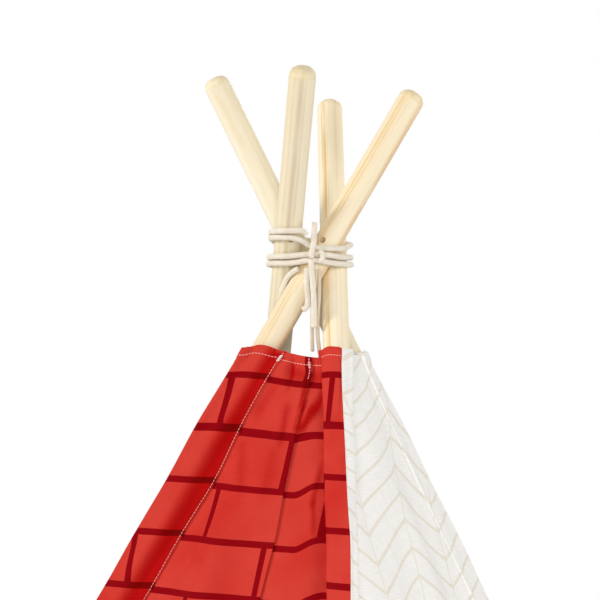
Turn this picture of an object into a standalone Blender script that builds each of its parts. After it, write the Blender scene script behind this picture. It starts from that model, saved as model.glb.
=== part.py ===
"""Kids teepee: four crossed wooden poles, tied with cotton cord, in a sewn fabric cover.

The poles stand on the corners of a square and cross like a pinwheel under their tips, each
touching its two neighbours. The cover has a pocket for each pole, three closed walls, and a
front of two overlapping halves with a pair of door curtains below them.
Metres, +Z up, the origin on the floor in the middle of the four feet, the door facing -Y.
"""
import math

import bmesh
import bpy
import numpy as np
from mathutils import Matrix, Vector

# Poles
FOOT_SPACING = 1.056            # side of the square on which the poles stand
POLE_LENGTH = 1.80              # floor to tip, along the pole
TIP_LENGTH = 0.2231             # crossing level to tip, along the pole
POLE_DIAMETER = 0.028
POLE_GAP = 0.0006               # between neighbours where they cross
CROSSING_SHARE = 0.396          # the front left and back right poles' share of the sideways offsets
APEX_BACK = 0.0149              # the crossing sits this far behind the middle of the square
DOME_HEIGHT = 0.0105            # rounded tip
DOME_FLAT_RADIUS = 0.004
LOWER_SECTION = 0.90            # each pole is two sections, joined on a steel pin
JOINT_PIN_DIAMETER = 0.010
JOINT_PIN_LENGTH = 0.090
CORD_HOLE_DIAMETER = 0.0068
CORD_HOLE_FROM_TIP = 0.187

# Rubber foot caps, cut flat where they stand
CAP_WALL = 0.0022
CAP_HEIGHT = 0.036              # up the pole from the floor, along the pole
CAP_BASE = 0.004                # least rubber under the wood

# Cover
FABRIC = 0.0012
SLEEVE_EASE = 0.0005            # pole to pocket at the tightest place
HEM_BELOW_CROSSING = 0.084      # top edge of the cover at the poles
HEM_DROOP = 0.0085              # the top edge sags this much between poles
COVER_FLOOR_GAP = 0.006
POCKET_FLOOR_GAP = 0.052        # the pockets end above the foot caps
STITCH_OUT = 0.0185             # pole axis to the pocket's stitch line, along the wall
WIDE_STITCH_TOP = 0.0205        # the same on the front left pocket, at the top edge
WIDE_STITCH_OUT = 0.0335        # and lower down
WIDE_STITCH_DEPTH = 0.19        # how far below the top edge it reaches that
SEAM_GAP = 0.001                # pocket to wall along the stitch line
CORNER_ROUND = 0.003
FOLD_DEPTH = 0.020              # soft folds in the three walls, inward
FRONT_FOLD_DEPTH = 0.009
DOOR_TOP = 1.02                 # lower edge of the upper front halves
DOOR_SEAM_GAP = 0.0006
LAP_TOP = 0.008                 # the left half runs past the middle: at the top edge,
LAP_UPPER = 0.024               # a fifth of the way down,
LAP_UPPER_DEPTH = 0.19
LAP_FLOOR = 0.055               # and at the floor
LAP_LIFT = 0.0011               # each half moves this far out or in where they overlap

# Cotton cord
CORD_DIAMETER = 0.006
THIN_END_DIAMETER = 0.0042      # the two thinner ends that hang behind the front one
CORD_SEAT = 0.0012              # cord to wood on the winding's bends
KNOT_AZIMUTH = 37.0             # the knot faces this many degrees round from the front

FIT_GAP = 0.0003
CUT_OVERRUN = 0.02
MM = 0.001

RENDER_STEPS = 20
POLE_RADIUS = POLE_DIAMETER / 2
CORD_RADIUS = CORD_DIAMETER / 2
HALF_FABRIC = FABRIC / 2

CORNERS = {
    "front_left": (-1, -1),
    "front_right": (1, -1),
    "back_right": (1, 1),
    "back_left": (-1, 1),
}
ORDER = list(CORNERS)

# Worked out from the sizes above
FOOT_RADIUS = FOOT_SPACING / math.sqrt(2)
FOOT_TO_CROSSING = POLE_LENGTH - TIP_LENGTH
CROSSING_Z = math.sqrt(FOOT_TO_CROSSING**2 - FOOT_RADIUS**2)
LEAN = math.asin(FOOT_RADIUS / FOOT_TO_CROSSING)
HEM_Z = CROSSING_Z - HEM_BELOW_CROSSING
# Two neighbours in a pinwheel pass each other at this sum of offsets times cos / sqrt(1 + cos squared)
OFFSET_SUM = (POLE_DIAMETER + POLE_GAP) * math.sqrt(1 + math.cos(LEAN) ** 2) / math.cos(LEAN)
SIDE_OFFSETS = {
    "front_left": OFFSET_SUM * CROSSING_SHARE,
    "back_right": OFFSET_SUM * CROSSING_SHARE,
    "front_right": OFFSET_SUM * (1 - CROSSING_SHARE),
    "back_left": OFFSET_SUM * (1 - CROSSING_SHARE),
}
WALL_OUT = POLE_RADIUS / math.cos(LEAN) + SLEEVE_EASE + HALF_FABRIC


def clear_scene():
    """Removes the objects and collections of an earlier run."""
    for obj in list(bpy.data.objects):
        bpy.data.objects.remove(obj, do_unlink=True)
    for collection in list(bpy.data.collections):
        bpy.data.collections.remove(collection)


clear_scene()
PARTS = bpy.data.collections.new("kids_teepee")
CUTTERS = bpy.data.collections.new("cutters")
bpy.context.scene.collection.children.link(PARTS)
bpy.context.scene.collection.children.link(CUTTERS)


def make_material(name, color, roughness, metallic=0.0):
    """One Principled material with the part's colour, roughness and metallic value."""
    material = bpy.data.materials.new(name)
    material.use_nodes = True
    shader = material.node_tree.nodes["Principled BSDF"]
    shader.inputs["Base Color"].default_value = (*color, 1.0)
    shader.inputs["Roughness"].default_value = roughness
    shader.inputs["Metallic"].default_value = metallic
    return material


WOOD = ((0.83, 0.68, 0.45), 0.55)
STEEL = ((0.55, 0.56, 0.58), 0.3, 1.0)
RUBBER = ((0.05, 0.05, 0.05), 0.8)
RED_PRINT = ((0.72, 0.06, 0.04), 0.85)
WHITE_PRINT = ((0.88, 0.87, 0.84), 0.85)
COTTON = ((0.86, 0.80, 0.70), 0.9)


def link_part(obj, finish):
    """Puts an object in the model's collection, with a material of its own."""
    for collection in list(obj.users_collection):
        collection.objects.unlink(obj)
    PARTS.objects.link(obj)
    obj.data.materials.clear()
    obj.data.materials.append(make_material(obj.name, *finish))
    return obj


def link_cutter(obj):
    """Puts a cutter in its own collection, as wire and left out of renders."""
    for collection in list(obj.users_collection):
        collection.objects.unlink(obj)
    CUTTERS.objects.link(obj)
    obj.hide_render = True
    obj.display_type = "WIRE"
    return obj


def cut(obj, cutter):
    """Takes a cutter away from an object with an exact Boolean."""
    modifier = obj.modifiers.new("cut_" + cutter.name, "BOOLEAN")
    modifier.operation = "DIFFERENCE"
    modifier.solver = "EXACT"
    modifier.object = cutter


# Pole lines

def unit(vector):
    """The vector scaled to length one."""
    return vector / np.linalg.norm(vector)


def pole_line(name):
    """Foot on the floor, and unit direction up the pole past its crossing point."""
    corner = np.array(CORNERS[name]) / math.sqrt(2)
    sideways = np.array([-corner[1], corner[0]])
    foot = np.array([*(corner * FOOT_RADIUS), 0.0])
    crossing = np.array([*(sideways * SIDE_OFFSETS[name] + np.array([0.0, APEX_BACK])), CROSSING_Z])
    return foot, unit(crossing - foot)


LINES = {name: pole_line(name) for name in ORDER}


def pole_at(name, z):
    """The pole's centre line at height z, in plan."""
    foot, up = LINES[name]
    return (foot + up * z / up[2])[:2]


def upright(obj, name):
    """Places an object made along +Z so that its Z runs up a pole from the pole's foot."""
    foot, up = LINES[name]
    obj.location = foot
    obj.rotation_mode = "QUATERNION"
    obj.rotation_quaternion = Vector(up).to_track_quat("Z", "Y")
    return obj


# Hinge axes. The poles fold like a closed umbrella: each turns on its neighbour, about the line
# square to both. Front left and back right turn on back left, front right on back right. Where the
# two front poles pass each other they only touch.

FOLDS = {
    "front_left": "back_left",
    "back_right": "back_left",
    "front_right": "back_right",
}
HINGES = {}


def hinge_empty(name, place, axis, parent):
    """An empty with its Z along a hinge axis."""
    empty = bpy.data.objects.new(name, None)
    empty.empty_display_size = POLE_DIAMETER
    PARTS.objects.link(empty)
    turn = Vector(axis).to_track_quat("Z", "Y").to_matrix().to_4x4()
    hang(empty, parent, Matrix.Translation(place) @ turn)
    HINGES[name] = empty
    return empty


def hang(obj, parent, world):
    """Parents an object without moving it from its world place."""
    if parent is not None:
        obj.parent = parent
        obj.matrix_parent_inverse = parent.matrix_world.inverted()
    obj.matrix_world = world
    bpy.context.view_layer.update()


def fold_axis(pole, neighbour):
    """Middle and direction of the shortest line between two poles. A positive turn about the
    direction takes the pole's foot towards its neighbour's."""
    foot, up = LINES[pole]
    other_foot, other_up = LINES[neighbour]
    axis = unit(np.cross(up, other_up))
    along, other_along, _ = np.linalg.solve(np.column_stack([up, -other_up, axis]), other_foot - foot)
    middle = (foot + up * along + other_foot + other_up * other_along) / 2
    if np.cross(axis, foot - middle) @ (other_foot - foot) < 0:
        axis = -axis
    return middle, axis


# Poles, joint pins and foot caps

SOLE_DROP = POLE_RADIUS * math.tan(LEAN)
WOOD_START = CAP_BASE / math.cos(LEAN) + SOLE_DROP
DOME_STEPS = 5


def turned(name, profile, pole, finish):
    """A solid turned from an (radius, height) profile that runs from the top down its outer side."""
    mesh = bpy.data.meshes.new(name)
    edges = [(i, i + 1) for i in range(len(profile) - 1)]
    mesh.from_pydata([(r, 0.0, h) for r, h in profile], edges, [])
    obj = bpy.data.objects.new(name, mesh)
    screw = obj.modifiers.new("turn", "SCREW")
    screw.steps = RENDER_STEPS
    screw.render_steps = RENDER_STEPS
    screw.use_merge_vertices = True
    screw.merge_threshold = 0.00001
    upright(obj, pole)
    return link_part(obj, finish)


def upper_section(pole):
    """Pole top with its rounded tip, the cord's hole and the pin's bore."""
    dome = [(0.0, POLE_LENGTH)]
    for i in range(DOME_STEPS + 1):
        a = math.pi / 2 * i / DOME_STEPS
        radius = DOME_FLAT_RADIUS + (POLE_RADIUS - DOME_FLAT_RADIUS) * math.sin(a)
        dome.append((radius, POLE_LENGTH - DOME_HEIGHT * (1 - math.cos(a))))
    foot_end = LOWER_SECTION + FIT_GAP
    bore = JOINT_PIN_DIAMETER / 2 + FIT_GAP
    bore_top = LOWER_SECTION + JOINT_PIN_LENGTH / 2 + FIT_GAP
    rest = [(POLE_RADIUS, foot_end), (bore, foot_end), (bore, bore_top), (0.0, bore_top)]
    obj = turned("pole_upper_" + pole, dome + rest, pole, WOOD)
    cut(obj, cord_hole(pole))
    return obj


HOLE_AZIMUTHS = {"front_left": 8.0, "front_right": 230.0, "back_right": 188.0, "back_left": 50.0}


def cord_hole(pole):
    """Cutter for the hole through a pole, square to the pole and facing the given azimuth."""
    bpy.ops.mesh.primitive_cylinder_add(
        vertices=12, radius=CORD_HOLE_DIAMETER / 2, depth=POLE_DIAMETER + CUT_OVERRUN
    )
    cutter = bpy.context.object
    cutter.name = "cord_hole_" + pole
    foot, up = LINES[pole]
    azimuth = math.radians(HOLE_AZIMUTHS[pole])
    facing = np.array([math.sin(azimuth), -math.cos(azimuth), 0.0])
    across = unit(facing - up * (facing @ up))
    cutter.location = foot + up * (POLE_LENGTH - CORD_HOLE_FROM_TIP)
    cutter.rotation_mode = "QUATERNION"
    cutter.rotation_quaternion = Vector(across).to_track_quat("Z", "Y")
    return link_cutter(cutter)


def lower_section(pole):
    """Pole foot section, square at both ends, with the pin's bore in its top."""
    top = LOWER_SECTION
    bore = JOINT_PIN_DIAMETER / 2 + FIT_GAP
    bore_foot = LOWER_SECTION - JOINT_PIN_LENGTH / 2 - FIT_GAP
    profile = [(0.0, bore_foot), (bore, bore_foot), (bore, top), (POLE_RADIUS, top)]
    profile += [(POLE_RADIUS, WOOD_START), (0.0, WOOD_START)]
    return turned("pole_lower_" + pole, profile, pole, WOOD)


def joint_pin(pole):
    """Steel pin that joins the two sections."""
    high = LOWER_SECTION + JOINT_PIN_LENGTH / 2
    low = LOWER_SECTION - JOINT_PIN_LENGTH / 2
    radius = JOINT_PIN_DIAMETER / 2
    return turned("joint_pin_" + pole, [(0.0, high), (radius, high), (radius, low), (0.0, low)], pole, STEEL)


def foot_cap(pole):
    """Rubber cup on the pole's foot, cut flat by the floor."""
    bore = POLE_RADIUS + FIT_GAP
    outer = bore + CAP_WALL
    seat = WOOD_START - FIT_GAP
    low = -outer * math.tan(LEAN) - CUT_OVERRUN
    profile = [(0.0, seat), (bore, seat), (bore, CAP_HEIGHT), (outer, CAP_HEIGHT), (outer, low), (0.0, low)]
    obj = turned("foot_cap_" + pole, profile, pole, RUBBER)
    bpy.ops.mesh.primitive_cube_add(size=1.0)
    floor = bpy.context.object
    floor.name = "floor_" + pole
    side = 4 * POLE_DIAMETER
    floor.data.transform(Matrix.Scale(side, 4))
    foot = LINES[pole][0]
    floor.location = (foot[0], foot[1], -side / 2)
    cut(obj, link_cutter(floor))
    return obj


# Cover: corner pockets

def rotate(vector, angle):
    """A plan vector turned anticlockwise."""
    c, s = math.cos(angle), math.sin(angle)
    return np.array([c * vector[0] - s * vector[1], s * vector[0] + c * vector[1]])


def neighbours(pole):
    """The poles before and after this one, anticlockwise seen from above."""
    i = ORDER.index(pole)
    return ORDER[i - 1], ORDER[(i + 1) % 4]


def wall_frame(first, second, z):
    """Plan direction along a wall from its first pole to its second, and its outward normal."""
    along = unit(pole_at(second, z) - pole_at(first, z))
    return along, np.array([along[1], -along[0]])


def stitch_out(pole, wall_first, z):
    """Pole axis to stitch line along a wall. The front left pocket is wider on the front."""
    if pole == "front_left" and wall_first == "front_left":
        share = min(1.0, max(0.0, (HEM_Z - z) / WIDE_STITCH_DEPTH))
        return WIDE_STITCH_TOP + (WIDE_STITCH_OUT - WIDE_STITCH_TOP) * share
    return STITCH_OUT


POCKET_ARC = 5
TOP_SHARES = (0.0, 0.1, 0.25, 0.45, 0.7, 1.0)
LOWER_ROWS = 5
ROWS = [HEM_Z - WIDE_STITCH_DEPTH * share for share in TOP_SHARES] + [DOOR_TOP]
ROWS += [DOOR_TOP + (POCKET_FLOOR_GAP - DOOR_TOP) * (i + 1) / LOWER_ROWS for i in range(LOWER_ROWS)]
ROWS.append(COVER_FLOOR_GAP)


def depth_share(z):
    """How far down the cover a height lies, from its top edge to its lower edge."""
    return (HEM_Z - z) / (HEM_Z - COVER_FLOOR_GAP)


def pocket_section(pole, z):
    """The pocket's middle line at height z: out along one wall, round the corner, back along the
    next wall and round the inner side of the pole."""
    before, after = neighbours(pole)
    centre = pole_at(pole, z)
    along_after, out_after = wall_frame(pole, after, z)
    along_before, out_before = wall_frame(before, pole, z)
    s_after = stitch_out(pole, pole, z)
    s_before = stitch_out(pole, before, z)
    corner = WALL_OUT * (out_after + out_before) / (1 + out_after @ out_before)
    stitch_before = WALL_OUT * out_before - s_before * along_before
    stitch_after = WALL_OUT * out_after + s_after * along_after
    points = [stitch_before, (stitch_before + corner) / 2]
    points += [corner - CORNER_ROUND * along_before, corner, corner + CORNER_ROUND * along_after]
    points += [(stitch_after + corner) / 2, stitch_after]
    start = math.atan2(out_after[1], out_after[0]) + 2 * math.atan(s_after / WALL_OUT)
    end = math.atan2(out_before[1], out_before[0]) - 2 * math.atan(s_before / WALL_OUT)
    sweep = (end - start) % (2 * math.pi)
    for i in range(POCKET_ARC):
        angle = start + sweep * i / (POCKET_ARC - 1)
        points.append(WALL_OUT * np.array([math.cos(angle), math.sin(angle)]))
    return [centre + p for p in points]


def grid_object(name, rows, closed, finish):
    """A sheet through rows of points, thickened to the fabric's thickness about its middle."""
    columns = len(rows[0])
    mesh = bpy.data.meshes.new(name)
    bm = bmesh.new()
    verts = [[bm.verts.new(p) for p in row] for row in rows]
    for upper, lower in zip(verts, verts[1:]):
        for i in range(columns if closed else columns - 1):
            j = (i + 1) % columns
            bm.faces.new((upper[i], lower[i], lower[j], upper[j]))
    bm.to_mesh(mesh)
    bm.free()
    mesh.shade_smooth()
    obj = bpy.data.objects.new(name, mesh)
    shell = obj.modifiers.new("fabric", "SOLIDIFY")
    shell.thickness = FABRIC
    shell.offset = 0.0
    shell.use_even_offset = True
    return link_part(obj, finish)


def pocket(pole):
    """The closed tube of fabric round one pole, in the same rows as the walls beside it."""
    rows = [[(*p, z) for p in pocket_section(pole, z)] for z in ROWS[:-1]]
    finish = RED_PRINT if pole.startswith("front") else WHITE_PRINT
    return grid_object("pocket_" + pole, rows, True, finish)


# Cover: walls

def wall_start(pole, wall_first, z):
    """Pole axis to a wall's edge, just clear of the pocket's thickened stitch line."""
    s = stitch_out(pole, wall_first, z)
    return s + HALF_FABRIC * max(1.0, s / WALL_OUT) + SEAM_GAP


def wall_point(first, second, u, z, out):
    """A point of a wall's middle surface: share u from edge to edge at height z, moved out."""
    along, normal = wall_frame(first, second, z)
    start = pole_at(first, z) + along * wall_start(first, first, z)
    end = pole_at(second, z) - along * wall_start(second, first, z)
    return (*(start + (end - start) * u + normal * (WALL_OUT + out)), z)


def wall_width(first, second, z):
    """Edge to edge at height z."""
    a = np.array(wall_point(first, second, 0.0, z, 0.0))
    b = np.array(wall_point(first, second, 1.0, z, 0.0))
    return np.linalg.norm(b - a)


def soft_folds(u, v, phase):
    """Share of the fold depth by which the cloth sags inward. The folds fan down from the top
    corners, with none at the stitch lines or the top edge."""
    fan = math.sin(2 * math.pi * (1.3 * u + 0.35 * v) + phase) * 0.3
    fan += math.sin(2 * math.pi * (2.6 * u - 0.8 * v) + 2.1 * phase) * 0.2
    return -(0.5 + fan) * math.sin(math.pi * u) * min(1.0, 2.5 * v)


WALL_COLUMNS = 13


def wall(name, first, second, finish, phase):
    """One closed wall of the cover."""
    rows = []
    for height in ROWS:
        v = depth_share(height)
        row = []
        for i in range(WALL_COLUMNS):
            u = i / (WALL_COLUMNS - 1)
            z = height - HEM_DROOP * math.sin(math.pi * u) * (1 - v)
            row.append(wall_point(first, second, u, z, FOLD_DEPTH * soft_folds(u, v, phase)))
        rows.append(row)
    return grid_object(name, rows, False, finish)


def lap(z):
    """How far past the middle the left half runs at height z."""
    depth = HEM_Z - z
    if depth < LAP_UPPER_DEPTH:
        return LAP_TOP + (LAP_UPPER - LAP_TOP) * depth / LAP_UPPER_DEPTH
    share = (depth - LAP_UPPER_DEPTH) / (HEM_Z - LAP_UPPER_DEPTH)
    return LAP_UPPER + (LAP_FLOOR - LAP_UPPER) * share


HALF_COLUMNS = 8


def front_half(name, side, heights):
    """Half of the front through some heights. side is -1 for the left half, which lies outside."""
    sag = HEM_DROOP if heights[0] == HEM_Z else 0.0
    rows = []
    for height in heights:
        v = depth_share(height)
        row = []
        for i in range(HALF_COLUMNS):
            w = i / (HALF_COLUMNS - 1)
            reach = 0.5 + lap(height) / wall_width("front_left", "front_right", height)
            u = w * reach if side < 0 else 1 - w * reach
            droop = sag * math.sin(math.pi * u) * (height - heights[-1]) / (heights[0] - heights[-1])
            out = FRONT_FOLD_DEPTH * soft_folds(u, v, 0.7) - side * LAP_LIFT * min(1.0, 2.5 * w)
            row.append(wall_point("front_left", "front_right", u, height - droop, out))
        rows.append(row if side < 0 else row[::-1])
    return grid_object(name, rows, False, RED_PRINT)


# Cotton cord: the winding, the knot and the loose ends
# Route points are (right, out, up) in millimetres from the crossing, seen from the knot's side.

KNOT_RIGHT = np.array([math.cos(math.radians(KNOT_AZIMUTH)), math.sin(math.radians(KNOT_AZIMUTH)), 0.0])
KNOT_OUT = np.array([KNOT_RIGHT[1], -KNOT_RIGHT[0], 0.0])
CROSSING = np.array([0.0, 0.0, CROSSING_Z])


def lash_point(right, out, up):
    """A world point from millimetres right, out and up at the lashing."""
    return CROSSING + (KNOT_RIGHT * right + KNOT_OUT * out + np.array([0.0, 0.0, up])) * MM


WINDING_MIDDLE_POINT = (9.0, -12.0, 0.0)
WINDING_MIDDLE = lash_point(*WINDING_MIDDLE_POINT)[:2]
OUTLINE_STEPS = 180
# (degrees round from the front, clockwise seen from above; height; lift off the bundle)
WINDING = [
    (6, 34.0, 1.0), (14, 39.0, 0), (24, 38.0, 0), (37, 37.6, 0), (72, 37.8, 0),
    (180, 33.5, 0), (252, 28.5, 0), (300, 22.8, 0), (335, 21.6, 0), (350, 21.9, 0),
    (362, 24.0, 0), (376, 29.0, 0), (388, 31.0, 0), (404, 31.1, 0), (432, 31.2, 0),
    (540, 24.0, 0), (612, 15.2, 0), (660, 13.8, 0), (691, 14.6, 0), (706, 15.0, 0),
    (726, 14.7, 0), (737, 13.8, 0), (751, 12.8, 0), (766, 11.8, 0), (792, 11.6, 0),
    (900, 9.4, 0), (972, 7.6, 0), (1020, 6.6, 0), (1053, 7.2, 0), (1065, 8.2, 0),
    (1088, 7.8, 0), (1098, 6.6, 0), (1110, 5.6, 0), (1126, 4.9, 0), (1152, 4.8, 0), (1262, 1.0, 0),
]
WINDING_STEP = 0.0072
WINDING_LEAST_GAP = 0.0004

KNOT_ROUTE = [
    (17.5, 28.4, 18.2), (21.0, 28.5, 15.6), (21.6, 28.5, 10.6), (17.9, 28.6, 6.2),
]
TAIL_ROUTES = {
    "tail_up": [(12.6, 28.4, 48.3), (12.5, 28.4, 42.0), (12.3, 28.6, 34.5), (12.0, 29.0, 25.0),
                (10.5, 29.0, 17.5), (9.9, 28.9, 10.1)],
    "tail_front": [(9.9, 28.8, 9.0), (10.4, 28.8, 3.0), (11.5, 28.6, -8.0), (13.0, 28.5, -20.0),
                   (14.3, 28.3, -36.0), (14.8, 28.0, -52.0), (15.0, 27.6, -62.6)],
    "tail_hook": [(6.4, 23.8, 0.4), (6.0, 24.0, -5.0), (5.8, 24.4, -12.0), (6.6, 24.8, -22.0),
                  (7.6, 25.2, -30.0), (7.9, 25.6, -36.5), (6.2, 26.2, -41.5), (2.2, 26.6, -43.8)],
    "tail_back": [(12.9, 21.6, 0.2), (12.9, 21.5, -8.0), (13.0, 21.4, -20.0), (13.0, 21.2, -34.0),
                  (13.0, 20.8, -50.0), (13.4, 20.4, -66.0), (14.4, 20.0, -87.0)],
    "tail_inside": [(18.8, 23.6, 0.6), (19.0, 22.4, -6.0), (19.4, 21.6, -16.0), (19.4, 20.6, -32.0),
                    (18.8, 20.2, -50.0), (19.4, 20.0, -70.0), (22.6, 20.0, -92.0), (24.4, 19.6, -120.0),
                    (24.6, 19.0, -150.0), (23.4, 18.6, -185.0), (22.6, 18.2, -220.0)],
    "tail_side": [(-2.5, 18.5, -0.5), (-6.5, 16.0, -2.5), (-10.5, 12.0, -5.5), (-13.5, 8.0, -8.5),
                  (-15.5, 5.5, -12.0), (-18.5, 1.5, -20.0), (-20.0, -1.5, -25.0), (-20.5, -4.0, -30.0),
                  (-19.0, -7.5, -36.0), (-17.0, -9.5, -43.0)],
}
THIN_ENDS = ("tail_back", "tail_inside")
TAIL_STEP = 0.010


def smooth_route(points, step):
    """Points a step apart along a centripetal curve through the route's own points."""
    p = np.array(points, float)
    ends = np.vstack([2 * p[0] - p[1], p, 2 * p[-1] - p[-2]])
    dense = []
    for i in range(len(p) - 1):
        a, b, c, d = ends[i : i + 4]
        t0 = 0.0
        t1 = t0 + np.linalg.norm(b - a) ** 0.5
        t2 = t1 + np.linalg.norm(c - b) ** 0.5
        t3 = t2 + np.linalg.norm(d - c) ** 0.5
        t = np.linspace(t1, t2, 20, endpoint=False)[:, None]
        ab = (t1 - t) / (t1 - t0) * a + (t - t0) / (t1 - t0) * b
        bc = (t2 - t) / (t2 - t1) * b + (t - t1) / (t2 - t1) * c
        cd = (t3 - t) / (t3 - t2) * c + (t - t2) / (t3 - t2) * d
        abc = (t2 - t) / (t2 - t0) * ab + (t - t0) / (t2 - t0) * bc
        bcd = (t3 - t) / (t3 - t1) * bc + (t - t1) / (t3 - t1) * cd
        dense.append((t2 - t) / (t2 - t1) * abc + (t - t1) / (t2 - t1) * bcd)
    dense.append(p[-1:])
    return resample(np.vstack(dense), step)


def resample(points, step):
    """Points at even steps of length along a polyline, both ends kept."""
    lengths = np.linalg.norm(np.diff(points, axis=0), axis=1)
    along = np.concatenate([[0.0], np.cumsum(lengths)])
    count = max(4, round(along[-1] / step) + 1)
    even = np.linspace(0.0, along[-1], count)
    return np.column_stack([np.interp(even, along, points[:, k]) for k in range(3)])


def bundle_outline(z, offset):
    """The tight outline round the four leaning poles at height z, moved out by an offset.
    Each pole's level section is an ellipse, longer along its lean by one over the cosine."""
    angles = np.linspace(0.0, 2 * np.pi, OUTLINE_STEPS, endpoint=False)
    normals = np.column_stack([np.cos(angles), np.sin(angles)])
    reach = np.full(OUTLINE_STEPS, -1.0)
    contact = np.zeros((OUTLINE_STEPS, 2))
    for name in ORDER:
        up = LINES[name][1]
        lean_way = unit(up[:2])
        half_long = POLE_RADIUS / up[2]
        side_way = np.array([-lean_way[1], lean_way[0]])
        a, b = normals @ lean_way * half_long, normals @ side_way * POLE_RADIUS
        size = np.hypot(a, b)
        centre = pole_at(name, z)
        touch = centre + (np.outer(a * half_long, lean_way) + np.outer(b * POLE_RADIUS, side_way)) / size[:, None]
        support = (normals * touch).sum(axis=1)
        better = support > reach
        reach[better] = support[better]
        contact[better] = touch[better]
    return contact + normals * offset


def outline_hit(outline, centre, direction):
    """Where a ray from the centre leaves a closed outline."""
    a = outline - centre
    b = np.roll(outline, -1, axis=0) - centre
    side_a = direction[0] * a[:, 1] - direction[1] * a[:, 0]
    side_b = direction[0] * b[:, 1] - direction[1] * b[:, 0]
    crossing = (side_a <= 0) & (side_b > 0) & ((a @ direction > 0) | (b @ direction > 0))
    i = int(np.argmax(crossing))
    share = side_a[i] / (side_a[i] - side_b[i])
    return centre + a[i] + (b[i] - a[i]) * share


def winding_path():
    """The cord's turns round all four poles: the outline of the bundle at each point's height."""
    table = np.array(WINDING, float)
    turned_by = np.arange(table[0, 0], table[-1, 0], 2.0)
    heights = monotone(turned_by, table[:, 0], table[:, 1])
    lifts = np.interp(turned_by, table[:, 0], table[:, 2])
    path = []
    for degrees, up, lift in zip(turned_by, heights, lifts):
        z = CROSSING_Z + up * MM
        angle = math.radians(degrees)
        direction = (KNOT_OUT * math.cos(angle) - KNOT_RIGHT * math.sin(angle))[:2]
        outline = bundle_outline(z, CORD_RADIUS + CORD_SEAT + lift * MM)
        path.append((*outline_hit(outline, WINDING_MIDDLE, direction), z))
    return resample(np.array(path), WINDING_STEP)


def monotone(x, knots, values):
    """Smooth values between knots that never overshoot them: cubic pieces with limited slopes."""
    steps = np.diff(knots)
    rises = np.diff(values) / steps
    slopes = np.zeros(len(values))
    same = rises[:-1] * rises[1:] > 0
    slopes[1:-1][same] = 2 * rises[:-1][same] * rises[1:][same] / (rises[:-1] + rises[1:])[same]
    i = np.clip(np.searchsorted(knots, x, side="right") - 1, 0, len(steps) - 1)
    h = steps[i]
    t = (x - knots[i]) / h
    return (
        values[i] * (1 + 2 * t) * (1 - t) ** 2
        + slopes[i] * h * t * (1 - t) ** 2
        + values[i + 1] * t * t * (3 - 2 * t)
        + slopes[i + 1] * h * t * t * (t - 1)
    )


def cord_tube(name, points, diameter, resolution):
    """A tube along a path."""
    curve = bpy.data.curves.new(name, "CURVE")
    curve.dimensions = "3D"
    curve.bevel_depth = diameter / 2
    curve.bevel_resolution = resolution
    curve.use_fill_caps = True
    curve.twist_mode = "MINIMUM"
    spline = curve.splines.new("POLY")
    spline.points.add(len(points) - 1)
    for point, place in zip(spline.points, points):
        point.co = (*place, 1.0)
    return link_part(bpy.data.objects.new(name, curve), COTTON)


def least_self_gap(points):
    """Least clear distance between stretches of one tube that lie over two diameters apart along it."""
    fine = resample(points, CORD_RADIUS)
    apart = np.linalg.norm(fine[:, None] - fine[None], axis=2)
    steps = np.abs(np.arange(len(fine))[:, None] - np.arange(len(fine))[None])
    return apart[steps > 8].min() - CORD_DIAMETER


# Make the parts

for corner_name in ORDER:
    upper_section(corner_name)
    lower_section(corner_name)
    joint_pin(corner_name)
    foot_cap(corner_name)
    pocket(corner_name)

wall("wall_right", "front_right", "back_right", WHITE_PRINT, 0.4)
wall("wall_back", "back_right", "back_left", RED_PRINT, 1.9)
wall("wall_left", "back_left", "front_left", WHITE_PRINT, 3.1)
upper_rows = [z for z in ROWS if z > DOOR_TOP] + [DOOR_TOP + DOOR_SEAM_GAP / 2]
curtain_rows = [DOOR_TOP - DOOR_SEAM_GAP / 2] + [z for z in ROWS if z < DOOR_TOP]
front_half("front_upper_left", -1, upper_rows)
front_half("front_upper_right", 1, upper_rows)
front_half("door_curtain_left", -1, curtain_rows)
front_half("door_curtain_right", 1, curtain_rows)

winding = winding_path()
cord_tube("lashing_winding", winding, CORD_DIAMETER, 1)
print("lashing_winding least gap to itself mm", round(least_self_gap(winding) / MM, 2))
knot = smooth_route([lash_point(*p) for p in KNOT_ROUTE], CORD_DIAMETER / 2)
cord_tube("lashing_knot", knot, CORD_DIAMETER, 2)
tails = {}
for tail_name, route in TAIL_ROUTES.items():
    tails[tail_name] = smooth_route([lash_point(*p) for p in route], TAIL_STEP)
    thickness = THIN_END_DIAMETER if tail_name in THIN_ENDS else CORD_DIAMETER
    cord_tube(tail_name, tails[tail_name], thickness, 2)

# Hang the moving pieces on their hinges

for pole_name, neighbour_name in FOLDS.items():
    pivot, direction = fold_axis(pole_name, neighbour_name)
    hinge_empty("hinge_" + pole_name, pivot, direction, HINGES.get("hinge_" + neighbour_name))


def curtain_hinge(name, pole, side):
    """A curtain's hinge along its pocket's stitch line, turning outward when positive."""
    ends = []
    for z in (COVER_FLOOR_GAP, DOOR_TOP):
        along, out = wall_frame("front_left", "front_right", z)
        place = pole_at(pole, z) - along * side * stitch_out(pole, "front_left", z) + out * WALL_OUT
        ends.append(np.array([*place, z]))
    return hinge_empty(name, ends[0], unit(ends[1] - ends[0]) * side, HINGES["hinge_" + pole])


curtain_hinge("hinge_door_left", "front_left", -1)
curtain_hinge("hinge_door_right", "front_right", 1)

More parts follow.
